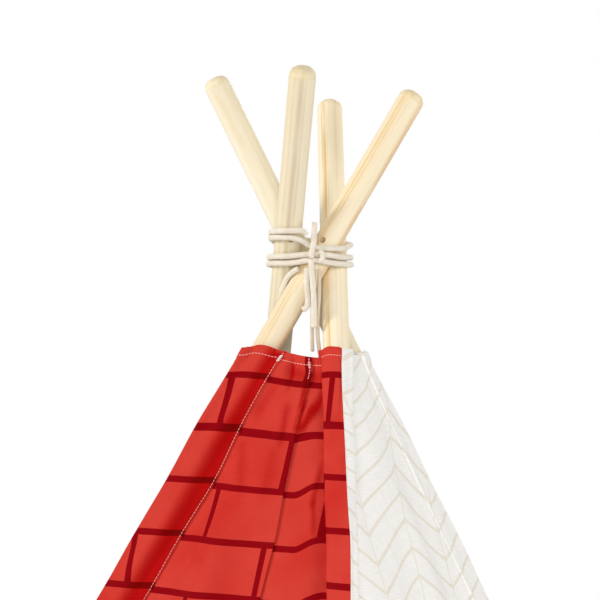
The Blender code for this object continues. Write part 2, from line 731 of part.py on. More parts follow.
HUNG = {
    "hinge_front_left": ["front_upper_left"],
    "hinge_front_right": ["front_upper_right"],
    "hinge_back_right": ["wall_right"],
    "hinge_door_left": ["door_curtain_left"],
    "hinge_door_right": ["door_curtain_right"],
}
for pole_name in FOLDS:
    kinds = ("pole_upper_", "pole_lower_", "joint_pin_", "foot_cap_", "pocket_")
    HUNG["hinge_" + pole_name] += [kind + pole_name for kind in kinds]
for hinge_name, piece_names in HUNG.items():
    for piece_name in piece_names:
        piece = bpy.data.objects[piece_name]
        hang(piece, HINGES[hinge_name], piece.matrix_world.copy())
for cutter in list(CUTTERS.objects):
    pole_name = cutter.name.replace("cord_hole_", "").replace("floor_", "")
    if pole_name in FOLDS:
        hang(cutter, HINGES["hinge_" + pole_name], cutter.matrix_world.copy())
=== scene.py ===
"""Kids teepee: four turned pine poles tied with cotton cord, in a sewn canvas cover.

Metres, +Z up, the origin on the floor in the middle of the four feet, the door facing -Y.
The sections follow the teepee as it is put together: poles, caps, cord, canvas, pockets, walls and
front. The studio comes last.
"""
import math

import bmesh
import bpy
import numpy as np
from mathutils import Matrix


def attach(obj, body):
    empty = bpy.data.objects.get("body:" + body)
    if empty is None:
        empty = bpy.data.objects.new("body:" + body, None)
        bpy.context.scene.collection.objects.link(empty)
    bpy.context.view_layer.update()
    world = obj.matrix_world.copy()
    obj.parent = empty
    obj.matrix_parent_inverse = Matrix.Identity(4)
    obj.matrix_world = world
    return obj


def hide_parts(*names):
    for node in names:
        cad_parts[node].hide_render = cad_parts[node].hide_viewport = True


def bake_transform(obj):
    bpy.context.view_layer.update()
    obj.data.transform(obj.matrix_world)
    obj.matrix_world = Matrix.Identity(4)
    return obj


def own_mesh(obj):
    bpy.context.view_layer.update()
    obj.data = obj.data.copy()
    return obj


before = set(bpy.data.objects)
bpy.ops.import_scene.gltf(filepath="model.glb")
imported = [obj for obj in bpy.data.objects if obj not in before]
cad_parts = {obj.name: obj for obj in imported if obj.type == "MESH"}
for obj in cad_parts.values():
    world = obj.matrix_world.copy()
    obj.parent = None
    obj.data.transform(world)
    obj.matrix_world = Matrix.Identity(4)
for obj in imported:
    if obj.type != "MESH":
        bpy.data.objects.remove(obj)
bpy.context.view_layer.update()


# ---- Pole lines -------------------------------------------------------------------------------
# Four round poles stand on the corners of a square and lean to a crossing near their tips, where
# each lies against its two neighbours, turned like a pinwheel. The whole teepee hangs on them.

FOOT_SPACING = 1.056
POLE_LENGTH = 1.80
TIP_LENGTH = 0.2231
POLE_RADIUS = 0.014
POLE_GAP = 0.0006
CROSSING_SHARE = 0.396
APEX_BACK = 0.0149
CORNERS = {"front_left": (-1, -1), "front_right": (1, -1), "back_right": (1, 1), "back_left": (-1, 1)}
ORDER = list(CORNERS)
FOOT_RADIUS = FOOT_SPACING / math.sqrt(2)
FOOT_TO_CROSSING = POLE_LENGTH - TIP_LENGTH
CROSSING_Z = math.sqrt(FOOT_TO_CROSSING**2 - FOOT_RADIUS**2)
LEAN = math.asin(FOOT_RADIUS / FOOT_TO_CROSSING)
OFFSET_SUM = (2 * POLE_RADIUS + POLE_GAP) * math.sqrt(1 + math.cos(LEAN) ** 2) / math.cos(LEAN)


def unit(vectors):
    """Vectors divided by their lengths."""
    vectors = np.asarray(vectors, float)
    return vectors / np.linalg.norm(vectors, axis=-1, keepdims=True)


def pole_line(name):
    """Foot, and direction to the crossing: offset sideways from the middle, further for two of them."""
    corner = np.array(CORNERS[name]) / math.sqrt(2)
    sideways = np.array([-corner[1], corner[0]])
    share = CROSSING_SHARE if name in ("front_left", "back_right") else 1 - CROSSING_SHARE
    foot = np.array([*(corner * FOOT_RADIUS), 0.0])
    crossing = np.array([*(sideways * OFFSET_SUM * share + (0.0, APEX_BACK)), CROSSING_Z])
    return foot, unit(crossing - foot)


LINES = {name: pole_line(name) for name in ORDER}


def grid_quads(rows, columns):
    """Corner numbers of a grid's quads, its points numbered row by row."""
    i = np.arange(rows - 1)[:, None] * columns + np.arange(columns - 1)
    return np.stack([i, i + 1, i + columns + 1, i + columns], axis=-1).reshape(-1, 4)


WELD_DISTANCE = 0.000004


def make_piece(name, body, grids, finishes, stands_for, sharp=50.0):
    """One closed mesh from grids of points (..., rows, columns, 3). A grid may carry uv, finish (the
    number of its material), local (a place in the piece's own axes), share (across a wall) and painted
    shade (1 where the cloth's colour is deepened most in a fold)."""
    places, quads, uvs, numbers, locals_ = [], [], [], [], []
    values = {"share": [], "painted_shade": []}
    count = 0
    for grid in grids:
        points = np.asarray(grid["points"], float)
        rows, columns = points.shape[-3:-1]
        flat = points.reshape(-1, 3)
        copies = len(flat) // (rows * columns)
        every = (grid_quads(rows, columns) + np.arange(copies)[:, None, None] * rows * columns).reshape(-1, 4)
        places.append(flat)
        quads.append(every + count)
        count += len(flat)
        uvs.append(np.broadcast_to(grid.get("uv", 0.0), points.shape[:-1] + (2,)).reshape(-1, 2)[every])
        each = np.broadcast_to(grid.get("finish", 0), (copies, rows - 1, columns - 1))
        numbers.append(each.reshape(-1))
        locals_.append(np.broadcast_to(grid.get("local", points), points.shape).reshape(-1, 3))
        for key, kept in values.items():
            kept.append(np.broadcast_to(grid.get(key, 0.0), points.shape[:-1]).reshape(-1))
    mesh = bpy.data.meshes.new(name)
    mesh.from_pydata(np.concatenate(places).tolist(), [], np.concatenate(quads).tolist())
    mesh.uv_layers.new(name="cloth").data.foreach_set("uv", np.concatenate(uvs).ravel())
    mesh.polygons.foreach_set("material_index", np.concatenate(numbers).astype(np.int32))
    if any("local" in grid for grid in grids):
        own_place = mesh.attributes.new("local", "FLOAT_VECTOR", "POINT")
        own_place.data.foreach_set("vector", np.concatenate(locals_).ravel())
    for key, kept in values.items():
        if any(key in grid for grid in grids):
            mesh.attributes.new(key, "FLOAT", "POINT").data.foreach_set("value", np.concatenate(kept))
    solid = bmesh.new()
    solid.from_mesh(mesh)
    bmesh.ops.remove_doubles(solid, verts=solid.verts, dist=WELD_DISTANCE)
    bmesh.ops.recalc_face_normals(solid, faces=solid.faces)
    solid.to_mesh(mesh)
    solid.free()
    mesh.shade_smooth()
    mesh.set_sharp_from_angle(angle=math.radians(sharp))
    for finish in finishes:
        mesh.materials.append(finish)
    piece = bpy.data.objects.new(name, mesh)
    bpy.context.scene.collection.objects.link(piece)
    if body:
        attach(piece, body)
    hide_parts(*stands_for)
    return piece


# ---- Poles ------------------------------------------------------------------------------------
# Turned pine, pale and unvarnished, in two sections on a hidden steel pin. The tips are rounded
# with a small flat, and each pole has one drilled hole for the cord, above the crossing.

DOME_HEIGHT = 0.0105
DOME_FLAT = 0.004
SECTION_END = 0.90
PIN_BORE = 0.0053
BORE_DEPTH = 0.0453
FIT_GAP = 0.0003
CHAMFER = 0.0008
HOLE_RADIUS = 0.0034
HOLE_RIM = 0.0038
HOLE_TO_TIP = 0.187
HOLE_UP = POLE_LENGTH - HOLE_TO_TIP
HOLE_AZIMUTHS = {"front_left": 8.0, "front_right": 230.0, "back_right": 188.0, "back_left": 50.0}
AROUND = 64
CELL = POLE_RADIUS * 2 * math.pi / AROUND
CAP_BASE = 0.004
CAP_WALL_START = CAP_BASE / math.cos(LEAN) + POLE_RADIUS * math.tan(LEAN)


def pole_axes(name):
    """Rows: the cord hole's direction, square to the pole; the third side; and up the pole."""
    up = LINES[name][1]
    azimuth = math.radians(HOLE_AZIMUTHS[name])
    facing = np.array([math.sin(azimuth), -math.cos(azimuth), 0.0])
    across = unit(facing - up * (facing @ up))
    return np.array([across, np.cross(up, across), up])


def lathe(profile, angles):
    """Turned surface in the pole's axes. Point = (r cos a, r sin a, h) for each (r, h)."""
    r, h = np.asarray(profile, float).T[:, :, None]
    return np.stack(np.broadcast_arrays(r * np.cos(angles), r * np.sin(angles), h), axis=-1)


def hole_grids():
    """A square patch of the pole's skin drawn in to the hole's rim, on both sides, and the bore
    between them. Patch point = rim + (square's edge - rim) t, in angle and height."""
    step = np.arange(33) % 32
    side, along = step // 8, step % 8 - 4
    i = np.choose(side, [4 + 0 * along, -along, -4 + 0 * along, along])
    j = np.choose(side, [along, 4 + 0 * along, -along, -4 + 0 * along])
    turn = np.arctan2(j, i)
    rim_angle = np.arcsin(HOLE_RIM * np.cos(turn) / POLE_RADIUS)
    t = np.array([0.0, 0.3, 0.65, 1.0])[:, None]
    angle = rim_angle + (i * 2 * np.pi / AROUND - rim_angle) * t
    height = HOLE_UP + HOLE_RIM * np.sin(turn) * (1 - t) + j * CELL * t
    grids = []
    for half_turn in (0.0, np.pi):
        a = half_turn + angle * (1 if half_turn == 0 else -1)
        grids.append(np.stack([POLE_RADIUS * np.cos(a), POLE_RADIUS * np.sin(a), height], axis=-1))
    radii = np.array([HOLE_RIM, HOLE_RADIUS, HOLE_RADIUS, HOLE_RADIUS, HOLE_RIM])[:, None]
    depth = np.sqrt(POLE_RADIUS**2 - (radii * np.cos(turn)) ** 2) * np.array([1, 0.96, 0, -0.96, -1])[:, None]
    grids.append(np.stack([depth, radii * np.cos(turn), HOLE_UP + radii * np.sin(turn)], axis=-1))
    return grids


def pole_section(kind):
    """The grids of an upper or lower section, in the pole's own axes."""
    whole = np.linspace(0, 2 * np.pi, AROUND + 1)
    edge = POLE_RADIUS - CHAMFER
    if kind == "lower":
        start = CAP_WALL_START
        profile = [(0, start), (edge, start), (POLE_RADIUS, start + CHAMFER)]
        profile += [(POLE_RADIUS, h) for h in np.linspace(start + 0.02, SECTION_END - 0.02, 12)]
        profile += [(POLE_RADIUS, SECTION_END - CHAMFER), (edge, SECTION_END), (PIN_BORE, SECTION_END)]
        profile += [(PIN_BORE, SECTION_END - BORE_DEPTH), (0, SECTION_END - BORE_DEPTH)]
        return [lathe(profile, whole)]
    foot, bore_end = SECTION_END + FIT_GAP, SECTION_END + BORE_DEPTH
    low, high = HOLE_UP - 4 * CELL, HOLE_UP + 4 * CELL
    profile = [(0, bore_end), (PIN_BORE, bore_end), (PIN_BORE, foot), (edge, foot)]
    profile += [(POLE_RADIUS, foot + CHAMFER)] + [(POLE_RADIUS, h) for h in np.linspace(foot + 0.02, low, 12)]
    a = np.linspace(np.pi / 2, 0, 14)
    dome = zip(DOME_FLAT + (POLE_RADIUS - DOME_FLAT) * np.sin(a), POLE_LENGTH - DOME_HEIGHT * (1 - np.cos(a)))
    top = [(POLE_RADIUS, h) for h in np.linspace(high, POLE_LENGTH - DOME_HEIGHT - 0.004, 5)]
    top += [*dome, (0, POLE_LENGTH)]
    band = [(POLE_RADIUS, HOLE_UP + j * CELL) for j in range(-4, 5)]
    turn = 2 * np.pi / AROUND
    sides = [lathe(band, turn * np.arange(4, 29)), lathe(band, turn * np.arange(36, 61))]
    return [lathe(profile, whole), lathe(top, whole)] + sides + hole_grids()


def add_node(tree, kind, sockets=(), **settings):
    """A shader node with its settings, and its sockets set to values or joined to outputs."""
    made = tree.nodes.new("ShaderNode" + kind)
    for key, value in settings.items():
        setattr(made, key, value)
    for key, value in dict(sockets).items():
        if isinstance(value, bpy.types.NodeSocket):
            tree.links.new(value, made.inputs[key])
        else:
            made.inputs[key].default_value = value
    return made


def calc(tree, operation, *values):
    """The output of a sum on numbers or outputs."""
    return add_node(tree, "Math", dict(enumerate(values)), operation=operation).outputs[0]


def smooth(tree, value, low, high, start=0.0, end=1.0):
    """Goes smoothly from start to end as value goes from low to high."""
    sockets = {0: value, 1: low, 2: high, 3: start, 4: end}
    return add_node(tree, "MapRange", sockets, interpolation_type="SMOOTHSTEP").outputs[0]


def mix(tree, share, a, b, blend="MIX"):
    """Colour a where share is 0 and b, or a blended with b, where it is 1."""
    sockets = {0: share, 6: a, 7: b}
    return add_node(tree, "Mix", sockets, data_type="RGBA", blend_type=blend).outputs[2]


def noise(tree, place, scale, size=1.0, detail=2.0, roughness=0.5):
    """Noise at a place stretched by a scale along each axis."""
    stretched = add_node(tree, "VectorMath", {0: place, 1: scale}, operation="MULTIPLY").outputs[0]
    sockets = {"Vector": stretched, "Scale": size, "Detail": detail, "Roughness": roughness}
    return add_node(tree, "TexNoise", sockets).outputs[0]


def object_place(tree):
    """The place in the piece's own coordinates."""
    return add_node(tree, "TexCoord").outputs["Object"]


def tinted(colour, red, green, blue):
    """A colour with each channel multiplied."""
    return tuple(np.array(colour) * (red, green, blue, 1.0))


def linear(red, green, blue):
    """A colour given as it looks on a screen, 0 to 255, made linear."""
    c = np.array([red, green, blue]) / 255
    return (*np.where(c <= 0.04045, c / 12.92, ((c + 0.055) / 1.055) ** 2.4).tolist(), 1.0)


def new_finish(name, **sockets):
    """An empty node material with one shader, its even values set on the shader itself."""
    material = bpy.data.materials.new(name)
    material.use_nodes = True
    shader = material.node_tree.nodes["Principled BSDF"]
    for key, value in sockets.items():
        shader.inputs[key.replace("_", " ")].default_value = value
    return material, material.node_tree, shader


def dress(tree, shader, colour, rough, height=None, strength=0.3, distance=0.0002):
    """Joins a colour, a roughness and, where there is one, a relief to the shader."""
    tree.links.new(colour, shader.inputs["Base Color"])
    tree.links.new(rough, shader.inputs["Roughness"])
    if height is None:
        return None
    bump = add_node(tree, "Bump", {"Strength": strength, "Distance": distance, "Height": height})
    tree.links.new(bump.outputs[0], shader.inputs["Normal"])
    return bump


def pine(name, cream, vein, warm, rings, lines):
    """Pale pine. Soft growth bands and a few dark lines follow the pole at set angles round it:
    each is a bell of (angle - its angle - slow wobble) / its width. Fine fibres run over them."""
    material, tree, shader = new_finish(name, Specular_IOR_Level=0.3)
    cream, vein, warm = linear(*cream), linear(*vein), linear(*warm)
    local = add_node(tree, "Attribute", attribute_name="local").outputs["Vector"]
    split = add_node(tree, "SeparateXYZ", {0: local})
    angle = calc(tree, "MULTIPLY", calc(tree, "ARCTAN2", split.outputs[1], split.outputs[0]), 180 / math.pi)
    wobble = calc(tree, "MULTIPLY_ADD", noise(tree, local, (6.0, 6.0, 3.0), detail=2.0), 26.0, -13.0)
    turned = calc(tree, "ADD", angle, wobble)
    fibre = noise(tree, local, (1300.0, 1300.0, 22.0), detail=3.0, roughness=0.6)
    bands = noise(tree, local, (rings, rings, 1.1), detail=3.0, roughness=0.55)
    broad = noise(tree, local, (30.0, 30.0, 2.0), size=1.3, detail=2.0)
    colour = mix(tree, smooth(tree, broad, 0.38, 0.66, 0.0, 0.55), cream, tinted(cream, 0.93, 0.86, 0.72))
    colour = mix(tree, smooth(tree, bands, 0.46, 0.72, 0.0, 0.5), colour, vein)
    for place, width, strength, tone in lines:
        off = calc(tree, "WRAP", calc(tree, "SUBTRACT", turned, place), 180.0, -180.0)
        bell = smooth(tree, calc(tree, "ABSOLUTE", off), width * 0.25, width, strength, 0.0)
        patches = noise(tree, local, (40.0, 40.0, 9.0), size=1.0 + width * 0.05, detail=1.0)
        share = calc(tree, "MULTIPLY", bell, smooth(tree, patches, 0.30, 0.55, 0.35, 1.0))
        colour = mix(tree, share, colour, linear(*tone))
    colour = mix(tree, smooth(tree, fibre, 0.5, 0.78, 0.0, 0.30), colour, vein)
    dome_start = POLE_LENGTH - DOME_HEIGHT
    end = smooth(tree, split.outputs[2], dome_start - 0.001, dome_start + 0.0015)
    pores = noise(tree, local, (420.0, 420.0, 260.0), detail=2.0)
    end_grain = mix(tree, smooth(tree, pores, 0.4, 0.65, 0.15, 0.7), tinted(cream, 1.0, 0.96, 0.84), warm)
    colour = mix(tree, calc(tree, "MULTIPLY", end, 0.45), colour, end_grain)
    pits = calc(tree, "MULTIPLY", calc(tree, "MULTIPLY", pores, end), 1.2)
    relief = calc(tree, "ADD", calc(tree, "MULTIPLY", fibre, 0.7), pits)
    dress(tree, shader, colour, smooth(tree, fibre, 0.3, 0.7, 0.50, 0.64), relief, distance=0.00025)
    return material


# Cream, vein, the warm end grain, the rings' scale, and the lines: angle round the pole from the cord
# hole, counterclockwise seen from the tip, width in degrees, strength and tone. The front left pole's
# broad warm band at 90 degrees, down its right side as the camera sees it, is painted shade.
AMBER, BROWN, SAND = (232, 190, 110), (168, 118, 70), (214, 190, 148)
WOODS = {
    "front_left": ((247, 233, 202), (224, 190, 138), (214, 182, 120), 150.0, [
        (-6, 11, 0.5, AMBER), (-15, 2.2, 0.55, BROWN), (5, 2.4, 0.6, BROWN), (13, 6, 0.35, AMBER),
        (90, 24, 0.55, (226, 178, 122)), (-60, 20, 0.3, SAND)]),
    "front_right": ((253, 241, 214), (232, 204, 152), (222, 192, 128), 150.0, [
        (134, 10, 0.8, (226, 184, 106)), (122, 6, 0.6, (222, 180, 108)), (147, 3, 0.45, AMBER),
        (172, 5, 0.2, AMBER)]),
    "back_right": ((246, 238, 215), (228, 208, 166), (226, 200, 146), 110.0, [
        (-172, 20, 0.2, SAND), (-128, 16, 0.3, SAND)]),
    "back_left": ((236, 225, 197), (214, 194, 156), (220, 190, 128), 120.0, [
        (-16, 14, 0.45, (206, 186, 148)), (4, 7, 0.3, (204, 182, 142)), (-48, 9, 0.35, SAND)]),
}
PINES = {name: pine("pine_" + name, *wood) for name, wood in WOODS.items()}
PIN_STEEL, tree, shader = new_finish("pin_steel", Metallic=1.0)
scratches = noise(tree, object_place(tree), (400.0, 400.0, 60.0), detail=3.0)
steel = mix(tree, scratches, linear(168, 170, 174), linear(198, 200, 204))
dress(tree, shader, steel, smooth(tree, scratches, 0.3, 0.7, 0.25, 0.42))

for name in ORDER:
    foot, _ = LINES[name]
    axes = pole_axes(name)
    for kind in ("upper", "lower"):
        skin = [{"points": foot + g @ axes, "local": g} for g in pole_section(kind)]
        node_name = "pole_" + kind + "_" + name
        make_piece("turned_" + node_name, name, skin, [PINES[name]], [node_name])
    for slot_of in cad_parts["joint_pin_" + name].material_slots:
        slot_of.material = PIN_STEEL


# ---- Foot caps --------------------------------------------------------------------------------
# Black rubber cups pushed on the poles' feet, with a bead round the rim and three shallow grooves,
# cut flat where they stand on the floor.

CAP_OUTER = 0.0160
CAP_BEAD = 0.0165
CAP_BORE = 0.0143
CAP_HEIGHT = 0.036
CAP_SEAT = CAP_WALL_START - FIT_GAP
CAP_EDGE = 0.0008
GROOVE_HEIGHTS = (0.0270, 0.0225, 0.0180)
GROOVE_DEPTH = 0.0005

RUBBER, tree, shader = new_finish("cap_rubber", Specular_IOR_Level=0.35)
rubber_grain = noise(tree, object_place(tree), (900.0, 900.0, 900.0), detail=3.0)
dust = noise(tree, object_place(tree), (55.0, 55.0, 30.0), detail=3.0)
dusty = mix(tree, smooth(tree, dust, 0.45, 0.75), linear(34, 34, 35), linear(58, 56, 53))
dress(tree, shader, dusty, smooth(tree, dust, 0.3, 0.7, 0.62, 0.8), rubber_grain)

for name in ORDER:
    foot, _ = LINES[name]
    axes = pole_axes(name)
    angles = np.linspace(0, 2 * np.pi, 49)
    tilt = -(np.cos(angles) * axes[0, 2] + np.sin(angles) * axes[1, 2]) / axes[2, 2]
    rim = [(0, CAP_SEAT), (CAP_BORE, CAP_SEAT), (CAP_BORE, CAP_HEIGHT - 0.0006),
           (CAP_BORE + 0.0005, CAP_HEIGHT), (CAP_BEAD - 0.0006, CAP_HEIGHT), (CAP_BEAD, CAP_HEIGHT - 0.0007),
           (CAP_BEAD, CAP_HEIGHT - 0.0026), (CAP_OUTER, CAP_HEIGHT - 0.0036)]
    for groove in GROOVE_HEIGHTS:
        rim += [(CAP_OUTER, groove + 0.0009), (CAP_OUTER - GROOVE_DEPTH, groove + 0.0003)]
        rim += [(CAP_OUTER - GROOVE_DEPTH, groove - 0.0003), (CAP_OUTER, groove - 0.0009)]
    wall = lathe(rim, angles)
    sole_r = np.array([CAP_OUTER, CAP_OUTER - CAP_EDGE, 0.0])[:, None]
    sole_h = sole_r * tilt + np.array([CAP_EDGE * 1.2, 0.0, 0.0])[:, None]
    sole = np.stack(np.broadcast_arrays(sole_r * np.cos(angles), sole_r * np.sin(angles), sole_h), axis=-1)
    cup = {"points": foot + np.concatenate([wall, sole]) @ axes}
    make_piece("cup_" + name, name, [cup], [RUBBER], ["foot_cap_" + name], sharp=35.0)


# ---- Cord -------------------------------------------------------------------------------------
# One 6 mm braided cotton cord, wound about three and a half turns round all four poles and tied in
# front. Its loose ends hang from the knot. Two of them are a thinner, more tightly twisted cord.

CORD_DIAMETER = 0.006
THIN_DIAMETER = 0.0042
CORD_SEAT = 0.0012
KNOT_AZIMUTH = math.radians(37.0)
KNOT_RIGHT = np.array([math.cos(KNOT_AZIMUTH), math.sin(KNOT_AZIMUTH), 0.0])
KNOT_OUT = np.array([KNOT_RIGHT[1], -KNOT_RIGHT[0], 0.0])
WINDING_MIDDLE = (9.0, -12.0, 0.0)
# Degrees round from the front, clockwise from above; height in millimetres; lift off the poles
WINDING = np.array([
    (6, 34.0, 1.0), (14, 39.0, 0), (24, 38.0, 0), (37, 37.6, 0), (72, 37.8, 0), (180, 33.5, 0),
    (252, 28.5, 0), (300, 22.8, 0), (335, 21.6, 0), (350, 21.9, 0), (362, 24.0, 0), (376, 29.0, 0),
    (388, 31.0, 0), (404, 31.1, 0), (432, 31.2, 0), (540, 24.0, 0), (612, 15.2, 0), (660, 13.8, 0),
    (691, 14.6, 0), (706, 15.0, 0), (726, 14.7, 0), (737, 13.8, 0), (751, 12.8, 0), (766, 11.8, 0),
    (792, 11.6, 0), (900, 9.4, 0), (972, 7.6, 0), (1020, 6.6, 0), (1053, 7.2, 0), (1065, 8.2, 0),
    (1088, 7.8, 0), (1098, 6.6, 0), (1110, 5.6, 0), (1126, 4.9, 0), (1152, 4.8, 0), (1262, 1.0, 0),
])
KNOT_ROUTE = [(17.5, 28.4, 18.2), (21.0, 28.5, 15.6), (21.6, 28.5, 10.6), (17.9, 28.6, 6.2)]
# Right, out and up from the crossing in millimetres, seen from the knot's side
TAILS = {
    "tail_up": [(12.6, 28.4, 48.3), (12.5, 28.4, 42.0), (12.3, 28.6, 34.5), (12.0, 29.0, 25.0),
        (10.5, 29.0, 17.5), (9.9, 28.9, 10.1)],
    "tail_front": [(9.9, 28.8, 9.0), (10.4, 28.8, 3.0), (11.5, 28.6, -8.0), (13.0, 28.5, -20.0),
        (14.3, 28.3, -36.0), (14.8, 28.0, -52.0), (15.0, 27.6, -62.6)],
    "tail_hook": [(6.4, 23.8, 0.4), (6.0, 24.0, -5.0), (5.8, 24.4, -12.0), (6.6, 24.8, -22.0),
        (7.6, 25.2, -30.0), (7.9, 25.6, -36.5), (6.2, 26.2, -41.5), (2.2, 26.6, -43.8)],
    "tail_back": [(12.9, 21.6, 0.2), (12.9, 21.5, -8.0), (13.0, 21.4, -20.0), (13.0, 21.2, -34.0),
        (13.0, 20.8, -50.0), (13.4, 20.4, -66.0), (14.4, 20.0, -87.0)],
    "tail_inside": [(18.8, 23.6, 0.6), (19.0, 22.4, -6.0), (19.4, 21.6, -16.0), (19.4, 20.6, -32.0),
        (18.8, 20.2, -50.0), (19.4, 20.0, -70.0), (22.6, 20.0, -92.0), (24.4, 19.6, -120.0),
        (24.6, 19.0, -150.0), (23.4, 18.6, -185.0), (22.6, 18.2, -220.0)],
    "tail_side": [(-2.5, 18.5, -0.5), (-6.5, 16.0, -2.5), (-10.5, 12.0, -5.5), (-13.5, 8.0, -8.5),
        (-15.5, 5.5, -12.0), (-18.5, 1.5, -20.0), (-20.0, -1.5, -25.0), (-20.5, -4.0, -30.0),
        (-19.0, -7.5, -36.0), (-17.0, -9.5, -43.0)],
}
THIN_TAILS = ("tail_back", "tail_inside")
ROUTE_STEP = 0.0072
BRAID_STEP = 0.0006
BRAID_PITCH = 0.0026
BRAID_DEPTH = 0.00028
CORD_END = 0.0011


def lash_point(places):
    """World points from millimetres right, out and up at the lashing."""
    right, out, up = np.split(np.asarray(places, float) * 0.001, 3, axis=-1)
    return (0.0, 0.0, CROSSING_Z) + right * KNOT_RIGHT + out * KNOT_OUT + up * (0.0, 0.0, 1.0)


def line_length(points):
    """Length of a line through points."""
    return float(np.linalg.norm(np.diff(points, axis=0), axis=1).sum())


def resample(points, step):
    """Points at even steps of length along a line, both ends kept."""
    along = np.concatenate([[0.0], np.cumsum(np.linalg.norm(np.diff(points, axis=0), axis=1))])
    even = np.linspace(0.0, along[-1], max(4, round(along[-1] / step) + 1))
    return np.stack([np.interp(even, along, points[:, k]) for k in range(3)], axis=1)


def through(points, step):
    """A centripetal Catmull-Rom curve: each stretch is a blend of straight lines between its four
    nearest points, timed by the square roots of their distances."""
    p = np.asarray(points, float)
    ends = np.vstack([2 * p[0] - p[1], p, 2 * p[-1] - p[-2]])
    a, b, c, d = (ends[k : len(ends) - 3 + k, None] for k in range(4))
    t1 = np.sqrt(np.linalg.norm(b - a, axis=-1, keepdims=True))
    t2 = t1 + np.sqrt(np.linalg.norm(c - b, axis=-1, keepdims=True))
    t3 = t2 + np.sqrt(np.linalg.norm(d - c, axis=-1, keepdims=True))
    t = t1 + (t2 - t1) * np.linspace(0, 1, 24, endpoint=False)[None, :, None]
    ab = (t1 - t) / t1 * a + t / t1 * b
    bc = (t2 - t) / (t2 - t1) * b + (t - t1) / (t2 - t1) * c
    cd = (t3 - t) / (t3 - t2) * c + (t - t2) / (t3 - t2) * d
    abc = (t2 - t) / t2 * ab + t / t2 * bc
    bcd = (t3 - t) / (t3 - t1) * bc + (t - t1) / (t3 - t1) * cd
    curve = ((t2 - t) / (t2 - t1) * abc + (t - t1) / (t2 - t1) * bcd).reshape(-1, 3)
    return resample(np.vstack([curve, p[-1:]]), step)


def monotone(x, knots, values):
    """Smooth values between knots that never overshoot them: cubic pieces with limited slopes."""
    steps = np.diff(knots)
    rises = np.diff(values) / steps
    same = rises[:-1] * rises[1:] > 0
    slopes = np.zeros(len(values))
    slopes[1:-1][same] = 2 * rises[:-1][same] * rises[1:][same] / (rises[:-1] + rises[1:])[same]
    i = np.clip(np.searchsorted(knots, x, side="right") - 1, 0, len(steps) - 1)
    h = steps[i]
    t = (x - knots[i]) / h
    part = values[i] * (1 + 2 * t) * (1 - t) ** 2 + slopes[i] * h * t * (1 - t) ** 2
    return part + values[i + 1] * t * t * (3 - 2 * t) + slopes[i + 1] * h * t * t * (t - 1)


def winding_route():
    """The tight outline round the four leaning poles at each height, left by a ray at each angle.
    A pole's level section is an ellipse; its support point in a direction is the outline's candidate."""
    turned_by = np.arange(WINDING[0, 0], WINDING[-1, 0], 2.0)
    z = CROSSING_Z + monotone(turned_by, WINDING[:, 0], WINDING[:, 1]) * 0.001
    lift = CORD_DIAMETER / 2 + CORD_SEAT + np.interp(turned_by, WINDING[:, 0], WINDING[:, 2]) * 0.001
    compass = np.linspace(0.0, 2 * np.pi, 180, endpoint=False)
    normals = np.stack([np.cos(compass), np.sin(compass)], axis=1)
    touches, reaches = [], []
    for name in ORDER:
        foot, up = LINES[name]
        lean_way = unit(up[:2])
        side_way = np.array([-lean_way[1], lean_way[0]])
        long = POLE_RADIUS / up[2]
        a, b = normals @ lean_way * long, normals @ side_way * POLE_RADIUS
        rim = (np.outer(a * long, lean_way) + np.outer(b * POLE_RADIUS, side_way)) / np.hypot(a, b)[:, None]
        touch = (foot[:2] + np.outer(z / up[2], up[:2]))[:, None] + rim[None]
        touches.append(touch)
        reaches.append((touch * normals).sum(axis=2))
    best = np.argmax(reaches, axis=0)
    outline = np.take_along_axis(np.array(touches), best[None, :, :, None], axis=0)[0]
    outline = outline + normals * lift[:, None, None]
    centre = lash_point(WINDING_MIDDLE)[:2]
    angle = np.radians(turned_by)[:, None]
    ray = (KNOT_OUT * np.cos(angle) - KNOT_RIGHT * np.sin(angle))[:, :2]
    a = outline - centre
    b = np.roll(outline, -1, axis=1) - centre
    side_a = ray[:, :1] * a[..., 1] - ray[:, 1:] * a[..., 0]
    side_b = ray[:, :1] * b[..., 1] - ray[:, 1:] * b[..., 0]
    ahead = ((a * ray[:, None]).sum(axis=2) > 0) | ((b * ray[:, None]).sum(axis=2) > 0)
    hit = np.argmax((side_a <= 0) & (side_b > 0) & ahead, axis=1)
    row = np.arange(len(z))
    share = (side_a[row, hit] / (side_a[row, hit] - side_b[row, hit]))[:, None]
    plan = centre + a[row, hit] + (b[row, hit] - a[row, hit]) * share
    return resample(np.column_stack([plan, z]), ROUTE_STEP)


def braided(route, diameter, reference):
    """Tube along a route with a diamond braid: radius = r + depth |sin(pi a) sin(pi b)|, where a and b
    count the strands that wind each way. Both ends close in a rounded cut."""
    path = through(route, BRAID_STEP)
    ahead = unit(np.gradient(path, axis=0))
    side = unit(np.cross(ahead, reference))
    over = np.cross(side, ahead)
    length = np.linspace(0, 1, len(path)) * line_length(path)
    turn = np.linspace(0, 2 * np.pi, 33)
    strands = 8 if diameter > 0.005 else 6
    a = strands * turn / (2 * np.pi) + length[:, None] / BRAID_PITCH
    b = strands * turn / (2 * np.pi) - length[:, None] / BRAID_PITCH
    pillow = np.abs(np.sin(np.pi * a) * np.sin(np.pi * b))
    radius = diameter / 2 - BRAID_DEPTH * 0.6 + BRAID_DEPTH * pillow
    from_end = np.clip(np.minimum(length, length[-1] - length)[:, None] / CORD_END, 0, 1)
    radius = radius * np.sqrt(from_end * (2 - from_end))
    ring = side[:, None] * np.cos(turn)[:, None] + over[:, None] * np.sin(turn)[:, None]
    uv = np.stack(np.broadcast_arrays(turn / (2 * np.pi) * strands, length[:, None] / BRAID_PITCH), axis=-1)
    return path, {"points": path[:, None] + ring * radius[..., None], "uv": uv}


